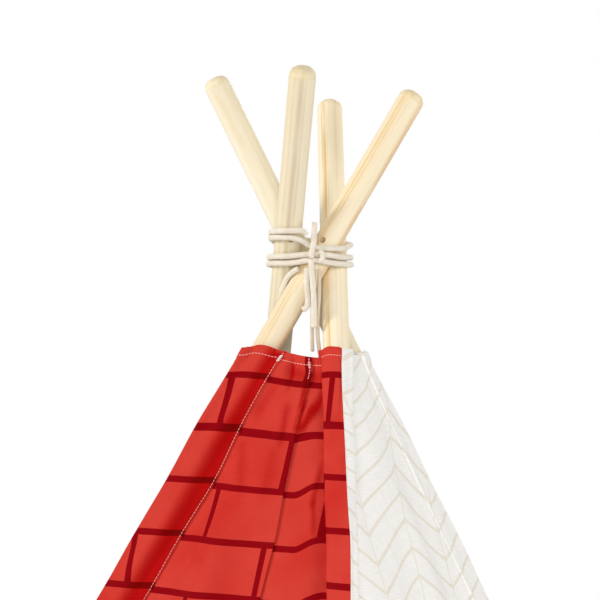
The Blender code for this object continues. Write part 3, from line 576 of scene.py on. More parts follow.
def cotton(name, pale, gap):
    """Braided cotton: pale strands, with painted shade in the diamonds' grooves, and twisted yarn in each."""
    material, tree, shader = new_finish(name, Specular_IOR_Level=0.15, Sheen_Weight=0.25, Sheen_Roughness=0.5)
    split = add_node(tree, "SeparateXYZ", {0: add_node(tree, "UVMap").outputs[0]})
    u, v = split.outputs[0], split.outputs[1]
    a, b = calc(tree, "ADD", u, v), calc(tree, "SUBTRACT", u, v)
    wave_a = calc(tree, "ABSOLUTE", calc(tree, "SINE", calc(tree, "MULTIPLY", a, math.pi)))
    wave_b = calc(tree, "ABSOLUTE", calc(tree, "SINE", calc(tree, "MULTIPLY", b, math.pi)))
    pillow = calc(tree, "MULTIPLY", wave_a, wave_b)
    slanted = calc(tree, "ADD", u, calc(tree, "MULTIPLY", v, 0.4))
    yarn = calc(tree, "SINE", calc(tree, "MULTIPLY", slanted, 26.0))
    fuzz = noise(tree, object_place(tree), (1900.0, 1900.0, 1900.0), detail=2.0)
    soil = noise(tree, object_place(tree), (120.0, 120.0, 120.0), detail=2.0)
    # Painted shade: the colour darkens towards the gap tone in the braid's grooves.
    painted_groove_shade = calc(tree, "MULTIPLY", smooth(tree, pillow, 0.03, 0.30, 1.0, 0.0), 0.8)
    tone = mix(tree, smooth(tree, soil, 0.35, 0.7), pale, tinted(pale, 0.93, 0.92, 0.9))
    colour = mix(tree, painted_groove_shade, tone, gap)
    fuzzy = mix(tree, smooth(tree, fuzz, 0.5, 0.8, 0.0, 0.2), colour, gap)
    fibres = calc(tree, "ADD", calc(tree, "MULTIPLY", yarn, 0.12), calc(tree, "MULTIPLY", fuzz, 0.25))
    rough = smooth(tree, fuzz, 0.3, 0.7, 0.82, 0.95)
    dress(tree, shader, fuzzy, rough, calc(tree, "ADD", pillow, fibres), 0.7, 0.0004)
    return material


COTTON = cotton("braided_cotton", linear(255, 248, 232), linear(210, 194, 174))
THIN_COTTON = cotton("twisted_cotton", linear(244, 231, 206), linear(178, 158, 136))


def cord_piece(name, grid, finish, node_name):
    """One cord's mesh, carried by the root pole."""
    return make_piece(name, "back_left", [grid], [finish], [node_name], sharp=180.0)


winding = winding_route()
_, winding_grid = braided(winding, CORD_DIAMETER, (0.0, 0.0, 1.0))
wound = cord_piece("wound_cord", winding_grid, COTTON, "lashing_winding")
_, knot_grid = braided(lash_point(KNOT_ROUTE), CORD_DIAMETER, KNOT_OUT)
knot = cord_piece("knot_bight", knot_grid, COTTON, "lashing_knot")
winding_length = line_length(winding)
for name, route in TAILS.items():
    diameter = THIN_DIAMETER if name in THIN_TAILS else CORD_DIAMETER
    path, tail_grid = braided(lash_point(route), diameter, KNOT_OUT)
    finish = THIN_COTTON if name in THIN_TAILS else COTTON
    tail = cord_piece("cord_" + name, tail_grid, finish, name)
    tail_length = line_length(path)


# ---- Canvas -----------------------------------------------------------------------------------
# The cover is printed cotton canvas: red with a brick print in front and at the back, white with
# beige herringbone lines on the two sides. Every edge is hemmed and every pocket is lockstitched.

FABRIC = 0.0012
THREAD_PITCH = 0.0011
# Hems: how much thicker the cloth is there, their heights, and their stitch lines' distance from the end
HEM_EXTRA = 0.9
RIM_HEM, RIM_STITCH = 0.0095, 0.0075
LOWER_HEM, LOWER_STITCH = 0.014, 0.011
POCKET_HEM = 0.012
STITCH_LIFT = 0.0003
STITCH_SINK = 0.0001
TACK_GAP = 0.0001
EDGE_ROUND = 0.8
HEM_Z = CROSSING_Z - 0.084
FLOOR_GAP = 0.006
BRICK_WIDTH = 0.156
BRICK_HEIGHT = 0.0550
FIRST_ROW = 0.0297
MORTAR = 0.0036
WIDER_MORTAR = 0.0022
MORTAR_REACH = 0.006
PRINT_WAVER = 0.0016
CUT_SLANT = 0.08
FOLD_SHADE = (0.78, 0.08, 0.11, 1.0)
COLUMN = 0.071
RIDGE = (0.088, 0.077, 0.062, 0.051, 0.039, 0.033)
STRIPE_PITCH = 0.028
STRIPE_RISE = 0.044
STRIPE_START = 0.0045
STRIPE_WIDTH = 0.0021


def finish_canvas(tree, shader, colour, uv):
    """Joins a print's colour to the shader with a plain weave's relief, slubs along both threads that
    dull the colour, and slow wrinkles."""
    split = add_node(tree, "SeparateXYZ", {0: uv})
    turns = [calc(tree, "MULTIPLY", split.outputs[k], 2 * math.pi / THREAD_PITCH) for k in (0, 1)]
    plain = calc(tree, "MULTIPLY", calc(tree, "SINE", turns[0]), calc(tree, "SINE", turns[1]))
    slub = noise(tree, uv, (70.0, 1400.0, 1.0), detail=1.0)
    slub_down = noise(tree, uv, (1400.0, 70.0, 1.0), detail=1.0)
    thread = calc(tree, "ADD", plain, calc(tree, "ADD", slub, slub_down))
    wrinkle = noise(tree, object_place(tree), (16.0, 16.0, 11.0), detail=4.0, roughness=0.55)
    dull = mix(tree, smooth(tree, slub, 0.4, 0.8, 0.0, 0.10), colour, (0.10, 0.03, 0.03, 1.0))
    soft = dress(tree, shader, dull, smooth(tree, slub, 0.3, 0.7, 0.80, 0.92), wrinkle, 0.5, 0.010)
    fine = add_node(tree, "Bump", {"Strength": 0.22, "Distance": 0.0002, "Height": thread})
    tree.links.new(fine.outputs[0], soft.inputs["Normal"])


def brick_canvas(name, brick, mortar):
    """Running bond: rows of bricks with half a brick's shift, mortar lines between them. Painted shade
    deepens the red in the folds that the mesh marks."""
    material, tree, shader = new_finish(name, Specular_IOR_Level=0.04)
    uv = add_node(tree, "UVMap").outputs[0]
    waver = noise(tree, uv, (24.0, 24.0, 1.0), detail=2.0)
    rise = calc(tree, "MULTIPLY_ADD", waver, PRINT_WAVER, -FIRST_ROW - PRINT_WAVER / 2)
    shift = add_node(tree, "CombineXYZ", {0: BRICK_WIDTH / 2, 1: rise}).outputs[0]
    moved = add_node(tree, "VectorMath", {0: uv, 1: shift}, operation="ADD").outputs[0]
    sockets = {"Vector": moved, "Scale": 1.0, "Mortar Size": MORTAR, "Mortar Smooth": 0.12,
               "Brick Width": BRICK_WIDTH, "Row Height": BRICK_HEIGHT}
    bricks = add_node(tree, "TexBrick", sockets, offset=0.5)
    tone = noise(tree, uv, (9.0, 9.0, 1.0), detail=3.0)
    worn = mix(tree, smooth(tree, tone, 0.38, 0.68), brick, tinted(brick, 0.92, 0.55, 0.55))
    colour = mix(tree, bricks.outputs["Fac"], worn, mortar)
    painted_shade = add_node(tree, "Attribute", attribute_name="painted_shade").outputs["Fac"]
    # Painted shade: the red is multiplied by FOLD_SHADE where the mesh marks a fold.
    finish_canvas(tree, shader, mix(tree, painted_shade, colour, FOLD_SHADE, "MULTIPLY"), uv)
    return material


def herringbone_canvas(name, ground, line):
    """Columns of slanting stripes that meet at alternate ridges and valleys, with a thin line at each.
    Stripe = distance down, less the slant, as a fraction of the pitch."""
    material, tree, shader = new_finish(name, Specular_IOR_Level=0.08)
    uv = add_node(tree, "UVMap").outputs[0]
    split = add_node(tree, "SeparateXYZ", {0: uv})
    share = calc(tree, "PINGPONG", calc(tree, "DIVIDE", split.outputs[0], COLUMN), 1.0)
    slant = calc(tree, "MULTIPLY", calc(tree, "SUBTRACT", 1.0, share), STRIPE_RISE)
    down = calc(tree, "SUBTRACT", calc(tree, "SUBTRACT", split.outputs[1], STRIPE_START), slant)
    turn = calc(tree, "FRACT", calc(tree, "ADD", calc(tree, "DIVIDE", down, STRIPE_PITCH), 0.5))
    away = calc(tree, "MULTIPLY", calc(tree, "ABSOLUTE", calc(tree, "SUBTRACT", turn, 0.5)), STRIPE_PITCH)
    stripe = smooth(tree, away, STRIPE_WIDTH * 0.8, STRIPE_WIDTH * 1.15, 1.0, 0.0)
    edge = calc(tree, "MULTIPLY", calc(tree, "MINIMUM", share, calc(tree, "SUBTRACT", 1.0, share)), COLUMN)
    spine = smooth(tree, edge, 0.0008, 0.0013, 0.75, 0.0)
    finish_canvas(tree, shader, mix(tree, calc(tree, "MAXIMUM", stripe, spine), ground, line), uv)
    return material


RED = brick_canvas("brick_canvas", linear(209, 63, 52), linear(142, 0, 12))
RED_BACK = brick_canvas("brick_canvas_wrong_side", linear(214, 92, 78), linear(172, 52, 58))
WHITE = herringbone_canvas("herringbone_canvas", linear(250, 248, 244), linear(239, 232, 218))
WHITE_BACK = herringbone_canvas("herringbone_canvas_wrong_side", linear(243, 241, 238), linear(234, 229, 219))


def sewing_thread(name, dark, light):
    """Twisted thread: fine slanting stripes of two close tones."""
    material, tree, shader = new_finish(name, Specular_IOR_Level=0.25)
    sockets = {"Vector": object_place(tree), "Scale": 900.0, "Distortion": 1.5}
    twist = add_node(tree, "TexWave", sockets).outputs["Fac"]
    dress(tree, shader, mix(tree, twist, dark, light), smooth(tree, twist, 0.0, 1.0, 0.55, 0.75))
    return material


THREAD = sewing_thread("sewing_thread", linear(236, 168, 160), linear(250, 204, 196))
WHITE_THREAD = sewing_thread("white_thread", linear(232, 229, 223), linear(242, 240, 236))
FINISHES = [RED, RED_BACK, WHITE, WHITE_BACK, THREAD, WHITE_THREAD]
RED_SIDE, WHITE_SIDE, STITCH, WHITE_STITCH = 0, 2, 4, 5


def pole_at(name, z):
    """A pole's centre line in plan at heights z."""
    foot, up = LINES[name]
    return foot[:2] + np.asarray(z)[..., None] / up[2] * up[:2]


def wall_frame(first, second, z):
    """Plan direction along a wall at heights z, and its outward normal."""
    along = unit(pole_at(second, z) - pole_at(first, z))
    return along, np.stack([along[..., 1], -along[..., 0]], axis=-1)


def smoothstep(x, low=0.0, high=1.0):
    """0 below low, 1 above high, and 3t^2 - 2t^3 between."""
    t = np.clip((x - low) / (high - low), 0, 1)
    return t * t * (3 - 2 * t)


def surface_normals(points, closed):
    """Cross product of the two grid directions at each point."""
    wide = np.concatenate([points[:, -2:-1], points, points[:, 1:2]], axis=1) if closed else points
    across = np.gradient(wide, axis=1)
    across = across[:, 1:-1] if closed else across
    return unit(np.cross(across, np.gradient(points, axis=0)))


def rim_strip(outer, inner, away, reach):
    """Half-round edge from one face to the other: middle + half the thickness sin t + away reach cos t."""
    t = np.radians([90.0, 45.0, 0.0, -45.0, -90.0])[:, None, None]
    return (outer + inner) / 2 + (outer - inner) / 2 * np.sin(t) + away * reach * np.cos(t)


def row_at(below, distance):
    """The row nearest to a distance below the rim."""
    return int(np.argmin(np.abs(below - distance)))


def cloth_thickness(down, end, end_hem, at_rim=True):
    """Thickness of the cloth, almost double in the hem at the rim and in the one at the end."""
    return FABRIC * (1 + HEM_EXTRA * (down < RIM_HEM) * at_rim + HEM_EXTRA * (down > end - end_hem))


def canvas_grids(points, uv, outward, colour, thickness, share=0.0, painted_shade=0.0):
    """A sheet's two faces, a thickness apart, and its four half-round edges."""
    normal = surface_normals(points, False)
    normal = normal * np.sign((normal * outward).sum())
    half = thickness[..., None] / 2
    outer, inner = points + normal * half, points - normal * half
    share = np.broadcast_to(share, points.shape[:2])
    grids = [{"points": outer, "uv": uv, "finish": colour, "share": share, "painted_shade": painted_shade},
             {"points": inner, "uv": uv, "finish": colour + 1, "share": share}]
    past_row = {0: unit(points[0] - points[1]), -1: unit(points[-1] - points[-2])}
    past_column = {0: unit(points[:, 0] - points[:, 1]), -1: unit(points[:, -1] - points[:, -2])}
    for end in (0, -1):
        row_away, column_away = past_row[end].copy(), past_column[end].copy()
        for corner in (0, -1):
            row_away[corner] += past_column[corner][end]
            column_away[corner] += past_row[corner][end]
        for line, away in ((np.s_[end], row_away), (np.s_[:, end], column_away)):
            strip = rim_strip(outer[line], inner[line], away, half[line] * EDGE_ROUND)
            grids.append({"points": strip, "uv": uv[line], "finish": colour, "share": share[line]})
    return grids


def stitches(path, normal, share=0.0, length=0.0030, gap=0.0005, width=0.00075, finish=STITCH):
    """Closed little tubes laid end to end along a line, each bowed like a lockstitch: height over the
    cloth = lift (1 - (2x / length)^2)."""
    steps = np.concatenate([[0.0], np.cumsum(np.linalg.norm(np.diff(path, axis=0), axis=1))])
    middles = np.arange(length, steps[-1] - length * 0.5, length + gap)
    pick = lambda values: np.stack([np.interp(middles, steps, values[:, k]) for k in range(3)], axis=1)
    centre, up = pick(path), unit(pick(normal))
    ahead = unit(pick(np.gradient(path, axis=0)))
    side = np.cross(up, ahead)
    x = np.array([-0.5, -0.32, 0.32, 0.5])[:, None]
    r = np.array([0.0, 1.0, 1.0, 0.0])[:, None]
    a = np.linspace(0, 2 * np.pi, 6)
    lift = STITCH_LIFT * (1 - (2 * x) ** 2) - STITCH_SINK
    across, above = r * np.cos(a) * width / 2, r * np.sin(a) * width * 0.35 + lift
    local = np.stack(np.broadcast_arrays(x * length, across, above), axis=-1)
    points = centre[:, None, None] + local[None] @ np.stack([ahead, side, up], axis=1)[:, None]
    shares = np.interp(middles, steps, np.broadcast_to(share, steps.shape))[:, None, None]
    return {"points": points, "finish": finish, "share": np.broadcast_to(shares, points.shape[:-1])}


def red_print(x, below, half, sleeve=False):
    """Brick print coordinates on the front, x across and below down. The left and the right half are
    cut separately. The pockets are cut a little askew. Between them the rows hang lower, least beside
    the right one. The second row's mortar is wider: down - width t exp(-t^2), t = distance / reach."""
    fades = smoothstep(-below, -0.5, -0.25)
    if half == "left" and sleeve:
        turn = 0.075
        across = x + 0.0353 + 0.098 * np.minimum(below, turn) - CUT_SLANT * np.maximum(below - turn, 0)
        rise = 0.0
    elif half == "left":
        bow = 0.006 * np.sin(np.pi * np.clip((below - 0.01) / 0.19, 0, 1))
        clear = smoothstep(x - pole_at("front_left", HEM_Z - below)[..., 0], 0.045, 0.085)
        across = x + 0.047 - CUT_SLANT * below - bow * clear
        rise = -0.0036 * smoothstep(below, 0.06, 0.14) * fades
    else:
        across = x - (0.0595 if sleeve else 0.0665) - CUT_SLANT * below - 0.046 * (1 - np.exp(-below / 0.30))
        past = x - pole_at("front_right", HEM_Z - below)[..., 0]
        rise = (0.0112 * smoothstep(past, -0.044, -0.014) - 0.0062) * smoothstep(below, 0.03, 0.14) * fades
        if sleeve:
            rise = 0.0023 + 0.022 * (1 - np.exp(-np.maximum(below - 0.0274, 0) / 0.28))
    down = below + rise
    from_row = (down - FIRST_ROW - BRICK_HEIGHT) / MORTAR_REACH
    return np.stack([across, down - WIDER_MORTAR * from_row * np.exp(-(from_row**2))], axis=-1)


def white_print(y, below, side):
    """Herringbone coordinates. The stripes keep one slope; a ridge line and a valley line, where they
    turn, come together near the top. Past each line the columns have their full width."""
    y = y * side
    ridge = np.interp(below, [0.038, 0.060, 0.090, 0.121, 0.147, 0.173], RIDGE)
    valley = ridge[..., :1] * 0 + np.interp(below, [0.13, 0.19], [-0.031, RIDGE[-1] - COLUMN])
    width = ridge - valley
    inside = np.clip((ridge - y) / width, 0, 1)
    past = np.maximum(y - ridge, 0) - np.maximum(valley - y, 0)
    extra = inside * STRIPE_RISE * (width / COLUMN - 1)
    return np.stack([COLUMN * (1 - inside) + past, below - extra], axis=-1)


# ---- Pockets ----------------------------------------------------------------------------------
# Each pole stands in a sewn pocket with a seam at its outer corner, where the front or back cloth
# meets the side cloth. The pockets are wider than the poles and end above the foot caps.

WALL_OUT = POLE_RADIUS / math.cos(LEAN) + 0.0005 + FABRIC / 2
POCKET_END = 0.052
ROUND_TURN = math.radians(64)
# Side of the pocket: how far along the wall its stitch line lies, how far out, at the top and below
FLAT = (0.0185, WALL_OUT, 0.0185, WALL_OUT)
HUG = 0.0153
WRAPPED = (HUG * math.sin(ROUND_TURN), HUG * math.cos(ROUND_TURN)) * 2
WIDE = (0.0235, WALL_OUT - 0.0080, 0.0320, WALL_OUT - 0.0170)
SIDES = {
    ("front_left", "after"): WIDE, ("front_left", "before"): FLAT,
    ("front_right", "before"): WRAPPED, ("front_right", "after"): WRAPPED,
    ("back_right", "before"): FLAT, ("back_right", "after"): FLAT,
    ("back_left", "before"): FLAT, ("back_left", "after"): FLAT,
}
# Millimetres the corner seam lies beyond the flat corner, and round towards the wall before it, at
# each of these depths below the rim
SHIFT_DEPTHS = (0, 0.06, 0.19, 0.5)
CORNER_SHIFTS = {
    "front_left": ((5.0, 2.5, -1.0, 0.0), (0, 0, 0, 0)),
    "front_right": ((-3.0, -1.5, 0.0, 0.0), (7.0, 4.0, -2.5, 0.0)),
    "back_right": ((0.0, 0.0, 0.0, 0.0), (0, 0, 0, 0)),
    "back_left": ((2.0, 1.0, 0.0, 0.0), (0, 0, 0, 0)),
}
# Columns of cloth after each control point of a pocket's outline: 13 outside, 8 round the inner side
POCKET_COUNTS = [5, 5, 6, 6, 5, 2, 2, 5, 6, 6, 6, 6, 3] + [4] * 8
STITCH_INSET = 2
# How much wider a pocket is at its rim, and how far down that and the rim's heights reach
RIM_FLARES = {"front_left": 0.03, "front_right": 0.03, "back_right": 0.16, "back_left": 0.03}
FLARE_REACH = 0.009
RIM_REACH = 0.02
RIPPLES = 5
RIPPLE_DEPTH = 0.0005
RIPPLE_SLANT = 55
TACK_SHIFTS = (-0.0012, -0.0004, 0.0004, 0.0012)
TOP_ROWS = np.linspace(0, 0.20, 51)
LOWER_ROWS = np.linspace(0.20, HEM_Z - FLOOR_GAP, 82)[1:]


def stitch_at(pole, which, below):
    """Distance along the wall from the pole's axis to its stitch line, and out from it."""
    top_s, top_o, low_s, low_o = SIDES[pole, which]
    t = smoothstep(below, 0.0, 0.16)
    return top_s + (low_s - top_s) * t, top_o + (low_o - top_o) * t


def catmull(counts):
    """Weights of control points on a smooth closed line through them, with so many columns after each:
    uniform Catmull-Rom."""
    t = np.concatenate([np.linspace(0, 1, n, endpoint=False) for n in counts])
    piece = np.repeat(np.arange(len(counts)), counts)
    w = np.stack([-t + 2 * t**2 - t**3, 2 - 5 * t**2 + 3 * t**3, t + 4 * t**2 - 3 * t**3, t**3 - t**2]) / 2
    weights = np.zeros((len(t), len(counts)))
    for k in range(4):
        weights[np.arange(len(t)), (piece + k - 1) % len(counts)] += w[k]
    return weights


def pocket_section(pole, below):
    """The pocket's outline at each height: out along one wall, round the corner seam, along the next
    wall to its stitch line, and back round the inner side of the pole."""
    z = HEM_Z - below
    index = ORDER.index(pole)
    along_a, out_a = wall_frame(pole, ORDER[(index + 1) % 4], z)
    along_b, out_b = wall_frame(ORDER[index - 1], pole, z)
    place_a = lambda s, o: along_a * np.asarray(s)[..., None] + out_a * np.asarray(o)[..., None]
    place_b = lambda s, o: -along_b * np.asarray(s)[..., None] + out_b * np.asarray(o)[..., None]
    s_a, o_a = stitch_at(pole, "after", below)
    s_b, o_b = stitch_at(pole, "before", below)
    full = np.full(z.shape, WALL_OUT)
    corner = WALL_OUT * (out_a + out_b) / (1 + (out_a * out_b).sum(axis=-1, keepdims=True))
    beyond, round_to = CORNER_SHIFTS[pole]
    corner = corner + unit(corner) * np.interp(below, SHIFT_DEPTHS, np.array(beyond) * 0.001)[:, None]
    corner = corner - along_b * np.interp(below, SHIFT_DEPTHS, np.array(round_to) * 0.001)[:, None]

    def partway(s, o, share, fall):
        """A control point between the pole's front and the stitch line: round the pole where the side
        is wrapped, else a share of the way along and a share of the fall."""
        if SIDES[pole, "before"] is WRAPPED:
            return HUG * math.sin(ROUND_TURN * share) + 0 * s, HUG * math.cos(ROUND_TURN * share) + 0 * s
        return s * share, WALL_OUT - (WALL_OUT - o) * fall

    front = full * (0.955 if SIDES[pole, "before"] is WRAPPED else 1.0)
    far, near = (0.68, 0.58), (0.36, 0.10)
    controls = [place_b(s_b, o_b), place_b(*partway(s_b, o_b, *far)), place_b(*partway(s_b, o_b, *near)),
                place_b(0 * full, front), place_b(-0.5 * full, full), corner - 0.0030 * along_b, corner,
                corner + 0.0030 * along_a, place_a(-0.5 * full, full), place_a(0 * full, full),
                place_a(*partway(s_a, o_a, *near)), place_a(*partway(s_a, o_a, *far)), place_a(s_a, o_a)]
    heading = lambda s, o: np.arctan2(s, o) + np.arccos(np.clip(WALL_OUT / np.hypot(s, o), -1, 1))
    start = np.arctan2(out_a[..., 1], out_a[..., 0]) + heading(s_a, o_a) + 0.08
    end = np.arctan2(out_b[..., 1], out_b[..., 0]) - heading(s_b, o_b) - 0.08
    sweep = (end - start) % (2 * np.pi)
    for share in np.linspace(0, 1, 8):
        angle = start + sweep * share
        controls.append(WALL_OUT * np.stack([np.cos(angle), np.sin(angle)], axis=-1))
    return np.stack(controls, axis=-2), z


def rim(places, heights):
    """Rim heights in metres round a pocket, joined smoothly: a cosine step between given places."""

    def heights_at(where, corner, stitch, last):
        """Heights at columns, once it is known which ones the named places are."""
        at = np.array([{"corner": corner, "stitch": stitch, "last": last}.get(p, p) for p in places], float)
        i = np.clip(np.searchsorted(at, where, side="right") - 1, 0, len(at) - 2)
        t = (where - at[i]) / (at[i + 1] - at[i])
        level = np.array(heights) * 0.001
        return level[i] + (level[i + 1] - level[i]) * (1 - np.cos(np.pi * t)) / 2

    return heights_at


RIMS = {
    "front_left": rim([0, 20, "corner", 41, "stitch", "last"], [-3, 0, -1.5, 2.0, -4.0, -3]),
    "front_right": rim([0, 14, "corner", "stitch", "last"], [-2, 2.2, 0.5, -3, -2]),
    "back_right": rim([0, 14, "corner", "stitch", "last"], [-2, 0.5, -1, -7, -2]),
    "back_left": rim([0, "corner", "stitch", "last"], [-8, -5, -9, -8]),
}


def pocket(pole):
    """The tube of canvas round one pole, with its stitch lines and the hems at both ends."""
    below = np.concatenate([TOP_ROWS, LOWER_ROWS[LOWER_ROWS < HEM_Z - POCKET_END], [HEM_Z - POCKET_END]])
    controls, z = pocket_section(pole, below)
    plan = np.einsum("ck,rkd->rcd", catmull(POCKET_COUNTS), controls)
    plan = np.concatenate([plan, plan[:, :1]], axis=1)
    last_column = plan.shape[1] - 1
    corner_column, front_column, stitch_column = (sum(POCKET_COUNTS[:k]) for k in (6, 9, 12))
    where = np.arange(last_column + 1)
    waves = np.sin(2 * np.pi * RIPPLES * where / last_column + below[:, None] * RIPPLE_SLANT)
    ripple = RIPPLE_DEPTH * waves * smoothstep(below, 0.0, RIM_REACH)[:, None]
    top = RIMS[pole](where, corner_column, stitch_column, last_column)
    height = z[:, None] + top * np.exp(-below / RIM_REACH)[:, None]
    centre = pole_at(pole, z)[:, None]
    flare = 1 + RIM_FLARES[pole] * np.exp(-((below / FLARE_REACH) ** 2))[:, None, None]
    swell = 1 + ripple[..., None] / WALL_OUT
    points = np.concatenate([centre + plan * flare * swell, height[..., None]], axis=-1)
    in_front = pole.startswith("front")
    half = "right" if pole in ("front_right", "back_right") else "left"
    below_grid = np.broadcast_to(below[:, None], points.shape[:2])
    red = RED_SIDE, red_print(points[..., 0], below_grid, half, in_front), STITCH
    white = WHITE_SIDE, white_print(points[..., 1], below_grid, 1 if half == "right" else -1), WHITE_STITCH
    normal = surface_normals(points, True)
    normal = normal * np.sign((normal[..., :2] * plan).sum())
    hem = (cloth_thickness(below, below[-1], POCKET_HEM) / 2)[:, None, None]
    outer, inner = points + normal * hem, points - normal * hem
    before, after = (red, white) if pole in ("front_right", "back_left") else (white, red)
    prints = ((0, corner_column, *before), (corner_column, stitch_column, *after),
              (stitch_column, last_column, *(red if in_front else white)))
    pieces = []
    # Painted shade: on the front left pocket the colour deepens from the pole's front to its stitch line.
    painted_shade = smoothstep(where, front_column + 1.0, front_column + 11.5) if pole == "front_left" else 0 * where
    painted_shade = np.broadcast_to(painted_shade * (where <= stitch_column - STITCH_INSET), points.shape[:2])
    for low, high, colour, uv, _ in prints:
        cut = np.s_[:, low : high + 1]
        pieces.append({"points": outer[cut], "uv": uv[cut], "finish": colour, "painted_shade": painted_shade[cut]})
        pieces.append({"points": inner[cut], "uv": uv[cut], "finish": colour + 1})
        for row, next_row in ((0, 1), (-1, -2)):
            line = np.s_[row, low : high + 1]
            away = unit(points[line] - points[next_row, low : high + 1])
            strip = rim_strip(outer[line], inner[line], away, FABRIC * 0.5)
            pieces.append({"points": strip, "uv": uv[line], "finish": colour})
    hem_row = row_at(below, RIM_STITCH)
    second_line = stitch_column - STITCH_INSET
    for column, low, high, thread in ((STITCH_INSET, 1, corner_column, before[2]),
                                      (second_line, corner_column, stitch_column - 1, after[2])):
        width = 0.00075 if thread == STITCH else 0.0005
        if not (pole == "front_right" and column == STITCH_INSET):
            pieces.append(stitches(outer[:, column], normal[:, column], width=width, finish=thread))
        pieces.append(stitches(outer[hem_row, low:high], normal[hem_row, low:high], finish=thread))
    if pole == "front_left":
        tack = np.s_[(below > 0.0005) & (below < 0.0130), second_line]
        for shift in TACK_SHIFTS:
            line = outer[tack] + normal[tack] * STITCH_LIFT + (shift, 0.0, 0.0)
            pieces.append(stitches(line, normal[tack], length=0.0018, gap=TACK_GAP, width=0.0014,
                                   finish=WHITE_STITCH))
    made = make_piece("canvas_pocket_" + pole, pole, pieces, FINISHES, ["pocket_" + pole], sharp=55.0)
    girth = line_length(points[60])


for name in ORDER:
    pocket(name)


# ---- Walls ------------------------------------------------------------------------------------
# Three closed walls of canvas hang between the pockets: white on both sides, red at the back. They
# sag a little and fan out in soft folds from the top corners. The lower edge clears the floor.

HEM_DROOP = 0.0085
FOLD_DEPTH = 0.020
RIM_DROP = {"front_left": 0.0035, "front_right": 0.0025, "back_right": 0.0040, "back_left": 0.0085}
RIM_DROP_REACH = 0.03
WALL_COLUMNS = 97
# How far a wall reaches under the stitch lines, and how far from them it has its full depth
STITCH_TUCK = 0.001
SEAM_REACH = 0.012
COME_OUT = 0.08


def soft_folds(u, v, phase):
    """Share of the fold depth by which the cloth sags in: two slanting sines, none at the edges."""
    wide = np.sin(2 * np.pi * (1.3 * u + 0.35 * v) + phase) * 0.3
    narrow = np.sin(2 * np.pi * (2.6 * u - 0.8 * v) + 2.1 * phase) * 0.2
    return -(0.5 + (wide + narrow)) * np.sin(np.pi * u) * np.minimum(1.0, 2.5 * v)


def crease(x, down, start, end, width, depth, sharp=1.0):
    """A fold along a line on the cloth, from start to end (along, down): depth times a bell of the
    distance from the line, steeper on its far side when sharp is under 1, fading at both ends."""
    start, end = np.array(start, float), np.array(end, float)
    run = end - start
    length = np.hypot(*run)
    t = ((x - start[0]) * run[0] + (down - start[1]) * run[1]) / length**2
    d = ((x - start[0]) * run[1] - (down - start[1]) * run[0]) / length
    w = np.where(d > 0, width * sharp, width)
    fade = smoothstep(t, -0.15, 0.2) * smoothstep(-t, -1.15, -0.8)
    return depth * np.exp(-((d / w) ** 2)) * fade


def wall_base(first, second, u, down, droop, out):
    """Points of a wall. From stitch line to stitch line at share u, moved out; the cloth also comes
    out to the poles' outer plane soon after each stitch line."""
    z = HEM_Z - down - droop
    s_first, o_first = stitch_at(first, "after", down)
    s_second, o_second = stitch_at(second, "before", down)
    along, normal = wall_frame(first, second, z)
    start = pole_at(first, z) + along * (s_first - STITCH_TUCK)[..., None] + normal * o_first[..., None]
    end = pole_at(second, z) - along * (s_second - STITCH_TUCK)[..., None] + normal * o_second[..., None]
    width = np.linalg.norm(end - start, axis=-1)
    from_first, from_second = u * width, (1 - u) * width
    near = smoothstep(from_first, 0.0, COME_OUT) * (1 - np.exp(-from_second / SEAM_REACH))
    short = WALL_OUT - (o_first * (1 - u) + o_second * u)
    eased = out * smoothstep(from_first, 0.0, SEAM_REACH) * smoothstep(from_second, 0.0, SEAM_REACH)
    moved = short * near + eased
    plan = start + (end - start) * u[..., None] + normal * moved[..., None]
    points = np.concatenate([plan, z[..., None]], axis=-1)
    return points, np.concatenate([normal, 0 * normal[..., :1]], axis=-1)


def wall(name, first, second, phase, folds, sag=HEM_DROOP):
    """One closed wall, with its hems and their stitch lines."""
    white = name != "wall_back"
    below = np.concatenate([TOP_ROWS, LOWER_ROWS])
    u, down = np.meshgrid(np.linspace(0, 1, WALL_COLUMNS), below)
    v = down / below[-1]
    corners = (RIM_DROP[first] * (1 - u) + RIM_DROP[second] * u) * np.exp(-down / RIM_DROP_REACH)
    droop = sag * np.sin(np.pi * u) * (1 - v) + corners
    z = HEM_Z - below
    width = np.linalg.norm(pole_at(second, z) - pole_at(first, z), axis=-1)[:, None]
    out = FOLD_DEPTH * soft_folds(u, v, phase) + sum(crease((u - 0.5) * width, down, *fold) for fold in folds)
    points, outward = wall_base(first, second, u, down, droop, out)
    if white:
        uv = white_print(points[..., 1], down, 1 if "right" in name else -1)
    else:
        uv = red_print(-points[..., 0], down, "left")
    hem = cloth_thickness(down, below[-1], LOWER_HEM)
    grids = canvas_grids(points, uv, outward, WHITE_SIDE if white else RED_SIDE, hem, u)
    outer = grids[0]["points"]
    for at in (RIM_STITCH, below[-1] - LOWER_STITCH):
        line = np.s_[row_at(below, at), 1:-1]
        grids.append(stitches(outer[line], outward[line], u[line], finish=WHITE_STITCH if white else STITCH))
    made = make_piece("canvas_" + name, None, grids, FINISHES, [name], sharp=55.0)
    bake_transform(made)
    shares = np.empty(len(made.data.vertices), np.float32)
    made.data.attributes["share"].data.foreach_get("value", shares)
    made.data.attributes.remove(made.data.attributes["share"])


